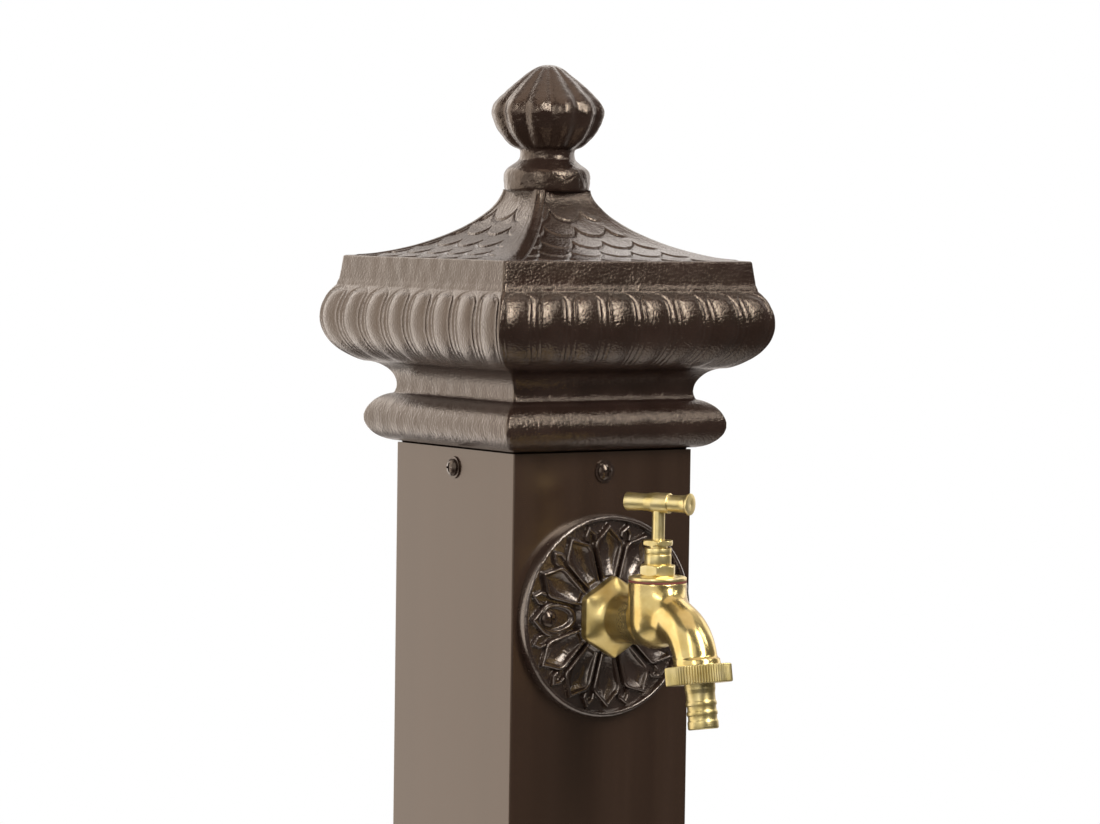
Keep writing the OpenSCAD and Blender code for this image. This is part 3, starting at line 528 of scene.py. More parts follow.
def roof_places(count, half, up, length):
    """Places from 0 to 1 along a roof side for each row, gathered at the beads beside the hips."""
    bead = hip_band(up, length)
    near = np.array(HIP_STEPS)[None, :] / HIP_BAND * (bead - 2 * BEAD_HALF)
    on = bead + np.linspace(*BEAD_STEPS)[None, :] * BEAD_HALF
    side = np.hstack([near, on])
    inner = np.linspace(0, 1, count - 2 * side.shape[1] + 3)[None, 1:-1]
    middle = side[:, -1:] + inner * (2 * half - 2 * side[:, -1:])
    return np.hstack([side, middle, 2 * half - side[:, :0:-1]]) / (2 * half)


def scale_foot(x, up, row):
    """Height of a place above the round lower lip of the scale that covers it in a row."""
    centre = SCALE_SHIFT + SCALE_W / 2 * (row % 2)
    off = np.mod(x - centre + SCALE_W / 2, SCALE_W) - SCALE_W / 2
    return up - SCALE_START - ROW_PITCH * row - (SCALE_R - np.sqrt(SCALE_R ** 2 - off ** 2))


def scale_relief(share, half, up, length):
    """Overlapping scales between plain hip bands, crisp to the left and filled to the right."""
    x = (2 * share - 1) * half
    hip = half - np.abs(x)
    rise = np.zeros(x.shape)
    over = [scale_foot(x, up, row) for row in range(SCALE_ROWS + 1)]
    for above, next_above in zip(over[:-1], over[1:]):
        hidden = np.clip(1 + next_above / CRESCENT, 0, 1)
        scale = SCALE_BACK + (1 - SCALE_BACK) * smooth(ROW_PITCH, 0, above) - CRESCENT_DEPTH * hidden ** 2
        rise = np.where(above >= 0, SCALE_RISE * smooth(0, LIP_ROUND, above) * scale, rise)
    band = hip_band(up, length)
    crisp = smooth(band + BEAD_HALF, band + 2 * BEAD_HALF, hip)
    filled = smooth(band + PLAIN_EXTRA - PLAIN_EDGE, band + PLAIN_EXTRA + PLAIN_EDGE, hip)
    field = np.where(x < 0, crisp, filled) * smooth(*FADE_FOOT, up) * smooth(*FADE_TOP, length - up)
    worn = np.where(x < 0, 1.0, BEAD_WORN)
    bead = BEAD_RISE * worn * smooth(BEAD_HALF, 0, np.abs(hip - band)) * smooth(*BEAD_START, up)
    return (rise - SCALE_RISE * SCALE_LEVEL) * field + bead


def stitch(first, second):
    """Triangles between a ring of many points and one of fewer, both given by index."""
    many, few = len(first), len(second)
    place = np.arange(many)
    near = place * few // many
    later = (place + 1) * few // many
    on = np.roll(first, -1)
    wide = np.stack([first, on, second[near]], -1)
    moved = later > near
    return np.vstack([wide, np.stack([on, second[later % few], second[near]], -1)[moved]])


def roll_outline():
    """Outline of the roll, fuller above than below, with a ground parting line at its nose."""
    low, high = np.radians(np.linspace(-84, -13, 12)), np.radians(np.linspace(9, 80, 14))
    under = np.column_stack([50.4 + 11.85 * np.cos(low), 12.9 + 12.0 * np.sin(low)])
    over = np.column_stack([49.6 + 12.55 * np.cos(high), 10.7 + 12.9 * np.sin(high)])
    return np.vstack([under, over])


def cap_body_rings(share):
    """Square rings from inside the skirt over roll, tongues and band to the top of the roof."""
    reach = math.radians(BULGE_TOP - BULGE_FOOT) * BULGE[2]
    down = np.concatenate([np.linspace(0, 12, 25), np.linspace(13.3, reach, 27)])[::-1]
    a = math.radians(BULGE_TOP) - down / BULGE[2]
    bulge = np.column_stack([BULGE[0] + BULGE[2] * np.cos(a), BULGE[1] + BULGE[2] * np.sin(a)])
    fine = np.radians(np.linspace(90, 0, 600))
    roof = np.column_stack([ROOF_HALF - ROOF_RUN * np.cos(fine) ** ROOF_CURVE,
                            ROOF_TOP - ROOF_RISE * np.sin(fine) ** ROOF_CURVE])
    run = np.concatenate([[0], np.cumsum(np.linalg.norm(np.diff(roof, axis=0), axis=1))])
    up = np.linspace(ROOF_START, run[-1], ROOF_ROWS)
    roof = np.column_stack([np.interp(up, run, roof[:, 0]), np.interp(up, run, roof[:, 1])])
    skirt = [[2, 28], [40.5, 28], [40.5, -22], [46.5, -22], [46.5, 0], [48.4, 0], [49, 1.0], [52.2, 1.0]]
    cove = np.vstack([[[51.4, 23.9], [50.8, 25.8]], arc(62, 27, 11.3, 180, 102, 11)])
    band = np.vstack([[[71.3, 76.3], [70.95, 77.1], [70.85, 77.9]],
                      np.linspace((70.7, 79), (69.75, 86.6), 6), arc(68.7, 87.3, 0.95, 8, 80, 5)])
    parts = [skirt, roll_outline(), cove, bulge, band, roof]
    outline = np.vstack(parts)
    starts = np.cumsum([0] + [len(part) for part in parts])
    bulge_rows, roof_rows = slice(starts[3], starts[4]), slice(starts[5], starts[6])
    way = np.gradient(outline, axis=0)
    way /= np.linalg.norm(way, axis=1)[:, None]
    outward = np.column_stack([way[:, 1], -way[:, 0]])
    half = np.repeat(outline[:, :1], len(share), 1)
    places = np.repeat(share[None, :], len(outline), 0)
    places[roof_rows] = roof_places(len(share), half[roof_rows, :1], up[:, None], run[-1])
    depth = np.zeros(half.shape)
    depth[bulge_rows] = tongue_relief(share, half[bulge_rows], down[:, None], reach)
    depth[roof_rows] = scale_relief(places[roof_rows], half[roof_rows], up[:, None], run[-1])
    height = np.repeat(outline[:, 1:], len(share), 1) + depth * outward[:, 1:]
    half = half + depth * outward[:, :1]
    corner = np.full(half.shape, CAP_CORNER_R)
    corner[roof_rows] += HIP_ROUND * smooth(0, HIP_ROUND_END, up)[:, None]
    return square_rings(half, height, places, np.minimum(corner, np.abs(half) * 0.4)), starts[1]


def rounded(outline):
    """An open outline with its corners cut off twice."""
    for _ in range(2):
        a, b = outline[:-1], outline[1:]
        inner = np.stack([0.75 * a + 0.25 * b, 0.25 * a + 0.75 * b], 1).reshape(-1, 2)
        outline = np.vstack([outline[:1], inner, outline[-1:]])
    return outline


def finial_rings():
    """Round rings of the drum, neck and lobed bud above the roof."""
    angle = math.radians(-135) + np.linspace(0, 2 * math.pi, BUD_AROUND, endpoint=False)
    drum = [[19.5, 119.6], [20.2, 120.5], [20.5, 122], [20.6, 124], [20.6, 126.2], [20.4, 127.8],
            [19.8, 129.2], [18.8, 130.3], [17, 131.6], [15, 133], [13.8, 134], [13.2, 134.9],
            [13, 136], [13, 137.4], [13.2, 138.6]]
    lower = [[13.8, 139.3], [15.3, 139.9], [16.9, 140.8], [18.7, 142.3], [20.8, 144.5],
             [22.6, 146.8], [24.1, 149.2], [25.2, 151.6], [25.9, 154]]
    upper = [[26.5, 156], [26.2, 158.2], [25.4, 160.2], [24.2, 162], [22.5, 163.8], [20.1, 166.1],
             [17.3, 168.7], [14.2, 171.4], [11, 174], [8.4, 176], [6.2, 177.4], [4, 178.35],
             [2, 178.75], [0.8, 178.8]]
    outline = rounded(np.array(drum + lower + upper))
    lobed = smooth(*BUD_FOOT, outline[:, 1])
    wave = np.cos((angle - angle[0]) * BUD_LOBES / 2)
    crease = CREASE_TOP - np.sqrt(wave ** 2 + CREASE_ROUND)
    swollen = outline[:, :1] * (1 + BUD_SWELL * lobed[:, None])
    radius = swollen - CREASE_DEPTH * crease[None, :] * (swollen / BUD_R) * lobed[:, None]
    height = np.repeat(outline[:, 1:], BUD_AROUND, 1)
    return np.stack([radius * np.cos(angle), radius * np.sin(angle), height], -1)


def cap_casting():
    share = side_places()
    body, inner_count = cap_body_rings(share)
    bud = finial_rings()
    body[..., 2] += POST_TOP
    bud[..., 2] += POST_TOP
    for rings, first, rough in ((body, inner_count, 1), (bud, 0, BUD_ROUGH)):
        skin_rows = rings[first:]
        flat = skin_rows * np.array([1, 1, 0])
        outwards = flat / np.maximum(np.linalg.norm(flat, axis=-1), 1)[..., None]
        swell = rough * (BROAD_LUMPS * lumps(skin_rows, 11, 3) + SMALL_LUMPS * lumps(skin_rows, 4, 4))
        skin_rows += outwards * (swell - LUMPS_INSET * rough)[..., None]
    body_points, (quads, fans) = skin(body)
    bud_points, (bud_quads, bud_fans) = skin(bud)
    around = body.shape[1]
    shift = len(body_points)
    join_ring = stitch(np.arange(around) + (len(body) - 1) * around, np.arange(BUD_AROUND) + shift)
    faces = [quads, bud_quads + shift, fans[:around], bud_fans[BUD_AROUND:] + shift, join_ring]
    points, faces = without_loose(np.vstack([body_points, bud_points]), faces)
    new_piece("cap_casting", points, faces, "cap", CAST_PAINT, 75)


# Rosette: rim, petals with outlined cushions and small leaves between their tips
PETALS = 12
PETAL_TIP = 42.9
PETAL_SHOULDER = 34.1
PETAL_HALF = 8.6
PETAL_GAP = 0.55
PETAL_ROUND = 2.4
LEAF_START, LEAF_TIP = 30, 43.9
LEAF_HALF = 3.5
LEAF_SLOPE = (0.62, 0.78)
LEAF_SHARE = 0.85
PLATE_T = 3.0
RIDGE_RISE = 2.7
RIDGE_HALF = 1.15
MARGIN_RISE = 1.6
SPOON_START = 16.5
SPOON_DEPTH = 2.6
SPOON_EDGE = 1.2
SPOON_REACH = 4.6
BOSS_RISE = 3.5
BOSS_EDGE = (17.6, 16.2)
SCREW_AT = 32
SEAT_EDGE = (4.9, 4.5)
EYE_R = 7.0
EYE_SHIFT = 2.2
EYE_LONG, EYE_SHORT = 2.0, 1.15
EYE_RISE, EYE_HALF = 1.3, 1.1
EYE_DEPTH = 0.7
RIM_R = (43.8, 44.3, 44.7, 45.2, 45.9, 46.7, 47.2)
RIM_RISE = (0, 1.8, 2.7, 2.9, 2.7, 2.0, -2.4)


def rosette_height(radius, angle):
    """Thickness of the rosette in mm over its polar places."""
    turn = 2 * math.pi / PETALS
    off = np.mod(angle + turn / 2, turn) - turn / 2
    along, across = radius * np.cos(off), np.abs(radius * np.sin(off))
    side = (along * math.tan(turn / 2) - PETAL_GAP - across) * math.cos(turn / 2)
    gable_l = PETAL_TIP - PETAL_SHOULDER
    gable = ((PETAL_TIP - along) * PETAL_HALF - across * gable_l) / math.hypot(PETAL_HALF, gable_l)
    inside = join(side, gable, PETAL_ROUND)
    deep = join(join(side, gable, 5.0), 0.5 * (along - SPOON_START), 2.5)
    bowl = np.clip((deep - SPOON_EDGE) / SPOON_REACH, 0, 1)
    ridge = RIDGE_RISE * dome((inside - RIDGE_HALF) / RIDGE_HALF)
    spoon = MARGIN_RISE * smooth(0, RIDGE_HALF, inside) - SPOON_DEPTH * (1 - (1 - bowl) ** 2)
    petal = np.where(inside > 0, np.where(inside < 2 * RIDGE_HALF, np.maximum(ridge, spoon), spoon), 0)
    leaf_off = np.mod(angle, turn) - turn / 2
    leaf_x, leaf_y = radius * np.cos(leaf_off), np.abs(radius * np.sin(leaf_off))
    leaf_end = (LEAF_TIP - leaf_x) * LEAF_SLOPE[0] - leaf_y * LEAF_SLOPE[1]
    leaf_in = np.minimum(leaf_end, LEAF_HALF - leaf_y)
    leaf_ridge = RIDGE_RISE * LEAF_SHARE * dome((leaf_in - RIDGE_HALF) / RIDGE_HALF)
    leaf_floor = (0.9 - 0.8 * smooth(0.9, 2.2, leaf_in)) * smooth(0, 0.4, leaf_in)
    on_leaf = (leaf_in > 0) & (leaf_x > LEAF_START)
    leaf = np.where(on_leaf, np.maximum(leaf_ridge, leaf_floor), 0)
    relief = np.where(inside > -0.2, petal, leaf)
    screw_x, screw_z = np.abs(radius * np.cos(angle)) - SCREW_AT, radius * np.sin(angle)
    stretch = np.where(screw_x < -EYE_SHIFT, EYE_LONG, EYE_SHORT)
    hollow = np.hypot((screw_x + EYE_SHIFT) / stretch, screw_z)
    eye = EYE_RISE * dome((hollow - EYE_R + EYE_HALF) / EYE_HALF)
    relief = np.where(hollow < EYE_R, eye - EYE_DEPTH * smooth(5.6, 4.2, hollow), relief)
    seat = smooth(*SEAT_EDGE, np.hypot(screw_x, screw_z))
    relief = np.where(seat > 0, relief * (1 - seat), relief)
    rim = np.interp(radius, RIM_R, RIM_RISE)
    relief = np.where(radius > RIM_R[0], rim, relief * smooth(RIM_R[0], RIM_R[0] - 0.4, radius))
    boss = smooth(*BOSS_EDGE, radius)
    return PLATE_T + relief * (1 - boss) + BOSS_RISE * boss


def rosette_casting():
    around = 900
    angle = np.linspace(0, 2 * math.pi, around, endpoint=False)
    face_r = np.concatenate([np.linspace(11.05, BOSS_EDGE[0], 10), np.linspace(18, RIM_R[0], 84),
                             np.linspace(RIM_R[0] + 0.2, RIM_R[-1], 15)])
    radius, turn = np.meshgrid(face_r, angle, indexing="ij")
    front = rosette_height(radius, turn)
    back = np.zeros((2, around))
    heights = np.concatenate([back[:1], front, back[1:]])
    radius = np.concatenate([radius[:1], radius, radius[-1:]])
    turn = np.repeat(angle[None, :], len(radius), 0)
    rings = np.stack([radius * np.cos(turn), FACE_Y - heights, TAP_Z + radius * np.sin(turn)], -1)
    skin_rows = slice(1, len(face_r) + 1)
    swell = 0.06 * lumps(rings[skin_rows], 6, 11) + 0.02 * lumps(rings[skin_rows], 2.2, 12)
    rings[skin_rows][..., 1] -= swell * smooth(18, 20, radius[skin_rows])
    points, faces = skin(rings, closed=True)
    new_piece("rosette_casting", points, faces, "rosette", ROSETTE_PAINT, 60)


# Plinth: the same mouldings as the cap's foot, with drilled corners
BOLT_AT = 71
BOLT_HOLE_R = 5.5
DRILL_SPAN = (-5, 30)
DRILL_SIDES = 48
PLINTH_CREASE = 50
PLINTH_CORNER_R = 2.0


def drill(piece, places, radius):
    """Upright holes through a piece, cut for good."""
    rod = turned([[radius, height] for height in DRILL_SPAN], DRILL_SIDES)
    parts = [skin(rod + np.array([x, y, 0])) for x, y in places]
    shifts = np.cumsum([0] + [len(points) for points, _ in parts])
    faces = [block + shift for (_, blocks), shift in zip(parts, shifts) for block in blocks]
    mesh = bpy.data.meshes.new("drills")
    mesh.from_pydata((np.vstack([points for points, _ in parts]) * MM).tolist(), [],
                     [face.tolist() for block in faces for face in block])
    drills = bpy.data.objects.new("drills", mesh)
    bpy.context.collection.objects.link(drills)
    holes = piece.modifiers.new("holes", "BOOLEAN")
    holes.object = drills
    holes.operation = "DIFFERENCE"
    whole = bpy.data.meshes.new_from_object(piece.evaluated_get(bpy.context.evaluated_depsgraph_get()))
    piece.modifiers.clear()
    piece.data = whole
    whole.set_sharp_from_angle(angle=math.radians(PLINTH_CREASE))
    bpy.data.objects.remove(drills)


def plinth_casting():
    slab = np.vstack([[[PLINTH_HALF - 0.8, 0]], [[PLINTH_HALF, 0.8]],
                      arc(PLINTH_HALF - 5, 11, 5, 0, 90, 10), [[71, 16], [68.5, 16]]])
    cove = arc(61, 24, 8, 262, 180, 14)
    roll = arc(51, 32.5, 8.5, -62, 78, 18)
    ring = np.array([[52.2, 41], [52, 42], [46.5, 42], [46.5, 67], [40.5, 67], [40.5, 0]])
    outline = np.vstack([slab, cove, roll, ring])
    share = sides_apart(60, 4.0 / 170)
    half = np.repeat(outline[:, :1], len(share), 1)
    height = np.repeat(outline[:, 1:], len(share), 1)
    rings = square_rings(half, height, share, np.full(half.shape, PLINTH_CORNER_R))
    points, faces = skin(rings, closed=True)
    piece = new_piece("plinth_casting", points, faces, "base_plinth", CAST_PAINT,
                      PLINTH_CREASE)
    drill(piece, [(x, y) for x in (-BOLT_AT, BOLT_AT) for y in (-BOLT_AT, BOLT_AT)], BOLT_HOLE_R)


# Tap casting from blended distance fields
SHOULDER_BACK = ROSETTE_LOW.y
SHOULDER_AF = 32.8
SHOULDER_FRONT = SHOULDER_BACK - 4.0
SHOULDER_DEPTH = 7.0
NECK_R = 10.9
THREAD_R = 10.4
THREAD_END = -26
CHAMBER_R = 13.2
CHAMBER_LOW = TAP_Z + 2
SPOUT_R = 9.95
SPOUT_START = (CHAMBER_Y, CHAMBER_TOP - 9.5)
BEND_START = (-111.398, 745.621)
BEND_CENTRE = (-102.946, 727.495)
BEND_R = 20.0
BEND_END = (-122.642, 730.968)
OUTLET = np.array([0.0, -124.553, 728.766])
COLLAR_R = 13.1
COLLAR_L = 3.6
STEM_BORE_R = 10
INLET_BORE_R = 6.5
PORT_R = 4.5
MOUTH_R = 4
EDGE_BLEND = 0.4
SURFACE_STEP = 0.6
SURFACE_MARGIN = Vector((2, 2, 2))
PULLS = 3
NUDGE = 0.02


def stretch_field(x, y, z, start, end, radius):
    """Distance to a round rod between two places in the middle plane."""
    dy, dz = end[0] - start[0], end[1] - start[1]
    length = dy * dy + dz * dz
    t = np.clip(((y - start[0]) * dy + (z - start[1]) * dz) / length, 0, 1)
    return np.sqrt(x * x + (y - start[0] - t * dy) ** 2 + (z - start[1] - t * dz) ** 2) - radius


def bend_field(x, y, z, radius):
    """Distance to the round bend between the spout's two straights."""
    dy, dz = y - BEND_CENTRE[0], z - BEND_CENTRE[1]
    first = math.atan2(BEND_START[1] - BEND_CENTRE[1], BEND_START[0] - BEND_CENTRE[0])
    last = math.atan2(BEND_END[1] - BEND_CENTRE[1], BEND_END[0] - BEND_CENTRE[0])
    angle = np.clip(np.mod(np.arctan2(dz, dy), 2 * math.pi), first, last)
    near_y, near_z = BEND_R * np.cos(angle), BEND_R * np.sin(angle)
    return np.sqrt(x * x + (dy - near_y) ** 2 + (dz - near_z) ** 2) - radius


def tap_field(x, y, z):
    """Distance to the tap's casting, hollowed for its valve and its water."""
    rise = z - TAP_Z
    from_inlet = np.hypot(x, rise)
    out = np.clip((SHOULDER_FRONT - y) / SHOULDER_DEPTH, 0, 1)
    half = NECK_R + (SHOULDER_AF / 2 - NECK_R) * (1 - out ** 1.4) ** 1.7
    flats = -join(-np.abs(x), -np.abs(x) / 2 - np.abs(rise) * math.sqrt(0.75), 2.0)
    wide = flats + (from_inlet - flats) * smooth(0, 0.7, out)
    shoulder = np.maximum(common(wide - half, y - SHOULDER_BACK, 0.6), CHAMBER_Y - y)
    thread = np.maximum(from_inlet - THREAD_R, np.maximum(SHOULDER_FRONT - y, y - THREAD_END))
    from_stem = np.hypot(x, y - CHAMBER_Y)
    below = np.minimum(z - CHAMBER_LOW, 0)
    chamber = common(np.hypot(from_stem, below) - CHAMBER_R, z - CHAMBER_TOP, 0.5)
    straight = stretch_field(x, y, z, SPOUT_START, BEND_START, SPOUT_R)
    spout = np.minimum(straight, bend_field(x, y, z, SPOUT_R))
    down = (y - OUTLET[1]) * OUTLET_WAY[1] + (z - OUTLET[2]) * OUTLET_WAY[2]
    off_y = y - OUTLET[1] - down * OUTLET_WAY[1]
    off_z = z - OUTLET[2] - down * OUTLET_WAY[2]
    from_outlet = np.sqrt(x * x + off_y ** 2 + off_z ** 2)
    collar = np.maximum(from_outlet - COLLAR_R, np.maximum(0.05 - down, down - COLLAR_L))
    flare = SPOUT_R + 0.5 * smooth(-3.0, 0.3, down)
    end = np.maximum(from_outlet - flare, np.maximum(-2.6 - down, down - 2))
    body = join(shoulder, chamber, 1.4)
    body = join(body, np.maximum(spout, z - CHAMBER_TOP + 1), 4.5)
    body = join(np.minimum(join(body, end, 2.0), thread), collar, EDGE_BLEND)
    bore = np.maximum(from_stem - STEM_BORE_R, CHAMBER_LOW - 0.5 - z)
    inlet = np.maximum(from_inlet - INLET_BORE_R, CHAMBER_Y + 3 - y)
    port = np.maximum(from_stem - PORT_R, TAP_Z - 2 - z)
    mouth = np.maximum(from_outlet - MOUTH_R, -3 - down)
    for hole in (bore, inlet, port, mouth):
        body = cut(body, hole, EDGE_BLEND)
    return body


def surface_of(field, low, high, step):
    """Points and quads on the zero surface of a field, pulled onto it after a first net."""
    axes = [np.arange(a, b + step, step) for a, b in zip(low, high)]
    grid = field(*np.meshgrid(*axes, indexing="ij"))
    solid = grid < 0
    size = np.array(grid.shape) - 1
    corners = np.array([(i, j, k) for i in (0, 1) for j in (0, 1) for k in (0, 1)])
    shifted = [tuple(slice(start, start + n) for start, n in zip(corner, size)) for corner in corners]
    count = sum(solid[part].astype(np.int8) for part in shifted)
    cells = np.argwhere((count > 0) & (count < 8))
    number = np.full(size, -1)
    number[tuple(cells.T)] = np.arange(len(cells))
    total, crossed = np.zeros((len(cells), 3)), np.zeros(len(cells))
    for axis in range(3):
        step_on = np.eye(3, dtype=int)[axis]
        for corner in corners[corners[:, axis] == 0]:
            a = grid[tuple((cells + corner).T)]
            b = grid[tuple((cells + corner + step_on).T)]
            hit = (a < 0) != (b < 0)
            t = np.where(hit, a / np.where(hit, a - b, 1), 0)
            total += np.where(hit[:, None], corner + t[:, None] * step_on, 0)
            crossed += hit
    points = np.array(low) + step * (cells + total / crossed[:, None])
    quads = []
    for axis in range(3):
        step_on, side_b, side_c = (np.eye(3, dtype=int)[(axis + k) % 3] for k in range(3))
        lower = solid[tuple(slice(0, n) for n in size)]
        upper = solid[tuple(slice(s, n + s) for n, s in zip(size, step_on))]
        edges = np.argwhere(lower != upper)
        edges = edges[(edges @ side_b > 0) & (edges @ side_c > 0)]
        backs = (0 * side_b, side_b, side_b + side_c, side_c)
        quad = np.stack([number[tuple((edges - back).T)] for back in backs], -1)
        outward = lower[tuple(edges.T)]
        quads.append(np.where(outward[:, None], quad, quad[:, ::-1]))
    for _ in range(PULLS):
        value = field(*points.T)
        slope = np.stack([field(*(points + NUDGE * way).T) - field(*(points - NUDGE * way).T)
                          for way in np.eye(3)], -1) / (2 * NUDGE)
        pull = value[:, None] * slope / np.maximum((slope ** 2).sum(1), 0.25)[:, None]
        points = points - np.clip(pull, -0.3 * step, 0.3 * step)
    return points, [np.vstack(quads)]


def tap_casting():
    low, high = (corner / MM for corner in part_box("tap_body"))
    points, faces = surface_of(tap_field, tuple(low - SURFACE_MARGIN), tuple(high + SURFACE_MARGIN),
                               SURFACE_STEP)
    new_piece("tap_casting", points, faces, "tap_body", CAST_BRASS, 50)


# Turned brass pieces
HEX_TURN = math.radians(20)
HEX_SIDES = 144
HEX_SLACK = 0.01
HEX_END = 0.15
HEX_CHAMFER = 1.9
PAST_HEX = 30
TEE_SIDES = 72
TAIL_SIDES = 96
TEETH = 72
TOOTH_SIDES = 6
KNURL_R = 15
KNURL_DEPTH = 0.55


def chamfered_hex(across_flats, low, high):
    """Radius of a hexagon between two heights, its corners turned off at both ends."""
    def radius(angle, height):
        if not low - HEX_SLACK <= height <= high + HEX_SLACK:
            return np.full(angle.shape, np.inf)
        off = np.mod(angle - HEX_TURN + math.pi / 6, math.pi / 3) - math.pi / 6
        end = min(height - low, high - height)
        return np.minimum(across_flats / 2 / np.cos(off), across_flats / 2 + HEX_END + HEX_CHAMFER * end)
    return radius


def brass_piece(name, rings, node, body, material, origin, axis=(0, 0, 1)):
    """A ring-shaped turned piece, closed through its bore."""
    points, faces = skin(rings, closed=True)
    new_piece(name, placed(points, origin, axis), faces, node, material, 35, body)


def bonnet_piece():
    hex_low, hex_high = BONNET_Z + 2.3, BONNET_Z + 6.9
    in_steps = np.array([0, 0.25, 0.6, 1.2])
    hex_rows = [[PAST_HEX, h] for h in (*(hex_low + in_steps), *(hex_high - in_steps[::-1]))]
    foot_r, flange_r, neck_r, groove_r = 9.8, 13.2, 6.1, 5.85
    foot_z = CHAMBER_TOP - 4.2
    foot = eased([[5.0, foot_z], [foot_r, foot_z], [foot_r, BONNET_Z]], 0.3)[:2 * EASE_STEPS]
    flange = eased([[foot_r, BONNET_Z], [flange_r, BONNET_Z], [flange_r, BONNET_Z + 1.5],
                    [9.4, hex_low - 0.1]], 0.45)[EASE_STEPS:]
    top = BONNET_Z + 14.5
    neck = eased([[neck_r, hex_high], [neck_r, hex_high + 4.6], [groove_r, hex_high + 4.8],
                  [groove_r, hex_high + 5.2], [neck_r, hex_high + 5.4], [neck_r, top], [4.5, top],
                  [4.5, top - 7]], 0.2)
    rings = turned([*foot, *flange, *hex_rows, *neck], HEX_SIDES,
                   chamfered_hex(15.2, hex_low, hex_high))
    brass_piece("bonnet_turned", rings, "bonnet", "standpipe", UPRIGHT_BRASS, (0, CHAMBER_Y, 0))


def gland_piece():
    low = BONNET_Z + 15.8
    high = low + 2.3
    in_steps = np.array([0, 0.2, 0.5])
    hex_rows = [[PAST_HEX, h] for h in (*(low + in_steps), *(high - in_steps[::-1]))]
    stem = [[2.95, low - 4.3], [4.3, low - 4.3], [4.3, low - 0.02]]
    inner = [[3.6, high], [2.95, high - 0.3]]
    rings = turned([*stem, *hex_rows, *inner], HEX_SIDES, chamfered_hex(12.8, low, high))
    brass_piece("gland_turned", rings, "gland_nut", "standpipe", UPRIGHT_BRASS, (0, CHAMBER_Y, 0))


def tee_piece():
    """The handle's bar: a soft far arm, a stepped boss and a flared near arm with a flat disc."""
    outline = [[0.01, -16.2], [3.9, -16.2], [4.2, -15.8], [4.1, -13], [3.9, -8], [3.95, -6],
               [4.3, -3.8], [4.6, -2], [4.65, 5.4], [4.45, 5.8], [3.9, 5.9], [3.85, 7.5],
               [3.95, 12], [4.3, 14.2], [4.9, 15.2], [5.0, 15.7], [4.9, 16.2], [0.01, 16.2]]
    points, faces = skin(turned(eased(outline, 0.25), TEE_SIDES))
    points = placed(points, (0, CHAMBER_Y, TEE_Z), TEE_WAY)
    new_piece("tee_handle", points, faces, "tee_bar", HANDLE_BRASS, 30, "spindle")


def union_piece():
    def knurled(angle, _height):
        wave = np.mod(angle * TEETH / (2 * math.pi), 1)
        crest = np.clip(1.6 * np.abs(2 * wave - 1) - 0.25, 0, 1)
        return KNURL_R - KNURL_DEPTH * (1 - crest)

    outline = [[13.45, -0.2], [14.5, -0.2], [KNURL_R, 0.25], [KNURL_R, 7.65], [14.5, 8.1], [7.1, 8.1],
               [7.1, 6.55], [13.45, 6.55]]
    rings = turned(eased(outline, 0.2), TEETH * TOOTH_SIDES, knurled)
    brass_piece("union_knurled", rings, "union_nut", "union_nut", OUTLET_BRASS, OUTLET, OUTLET_WAY)


def tail_piece():
    rib, waist = 6.95, 6.55
    outline = [[4.5, 5.1], [12.8, 5.1], [12.8, 6.45], [rib, 6.45], [rib, 10.4], [waist, 12.2]]
    for start in (15.5, 19.8):
        outline += [[waist, start], [rib, start + 0.8], [rib, start + 2.1], [waist, start + 2.35]]
    outline += [[waist, 24.1], [rib, 24.9], [rib, 27.8], [waist - 0.1, 28.3], [4.5, 28.3]]
    rings = turned(eased(outline, 0.25), TAIL_SIDES)
    brass_piece("tail_ribbed", rings, "hose_tail", "hose_tail", OUTLET_BRASS, OUTLET, OUTLET_WAY)


cap_casting()
rosette_casting()
plinth_casting()
tap_casting()
bonnet_piece()
gland_piece()
tee_piece()
union_piece()
tail_piece()


# Floor, lights and camera, in metres
FLOOR_R = 1.0
FLOOR_SIDES = 96
FLOOR_FADE = (0.45, 0.98)
CAMERA_AZ = math.radians(34.407)
CAMERA_TURN = math.radians(34.502)
CAMERA_PITCH = math.radians(3.05)
CAMERA_ROLL = math.radians(0.796)
CAMERA_D = 1.8
CAMERA_Z = 0.931705
FOCAL_PX = 3824.496
IMAGE_W = 1100
FILL_LEVEL = 0.35
MIRROR_TILT = 0.25
MIRROR_SPAN = (-0.75, 1.0)
MIRROR_TONES = ((0.08, 0.077, 0.075), (0.14, 0.135, 0.13), (0.32, 0.29, 0.27), (1.0, 0.92, 0.86))
MIRROR_PLACES = (0.0, 0.6, 0.74, 0.91)
LAMP_TARGET = Vector((0, 0, 0.85))
WHITE = (1, 1, 1)
# Each lamp: name, azimuth, elevation, reach, width, height, level, colour
LAMPS = (
    ("back_left", -148, 5, 2.1, 3.4, 3.6, 1.98, (1, 0.93, 0.86)),
    ("left_front", -72, 14, 1.9, 3.2, 1.8, 1.05, WHITE),
    ("left_core", -54, 24, 1.8, 0.25, 1.1, 7.0, WHITE),
    ("front", 11, 33, 1.9, 0.5, 1.2, 17.0, WHITE),
    ("right_front", 44, 37, 1.9, 0.2, 0.9, 9.0, WHITE),
    ("right", 98, 14, 2.0, 0.8, 1.3, 1.2, WHITE),
    ("right_back", 134, 38, 1.8, 1.0, 0.9, 1.2, WHITE),
    ("right_top", 95, 56, 1.8, 1.2, 0.9, 0.3, WHITE),
    ("top", -30, 82, 1.6, 1.5, 1.5, 1.0, (1, 0.86, 0.76)),
)


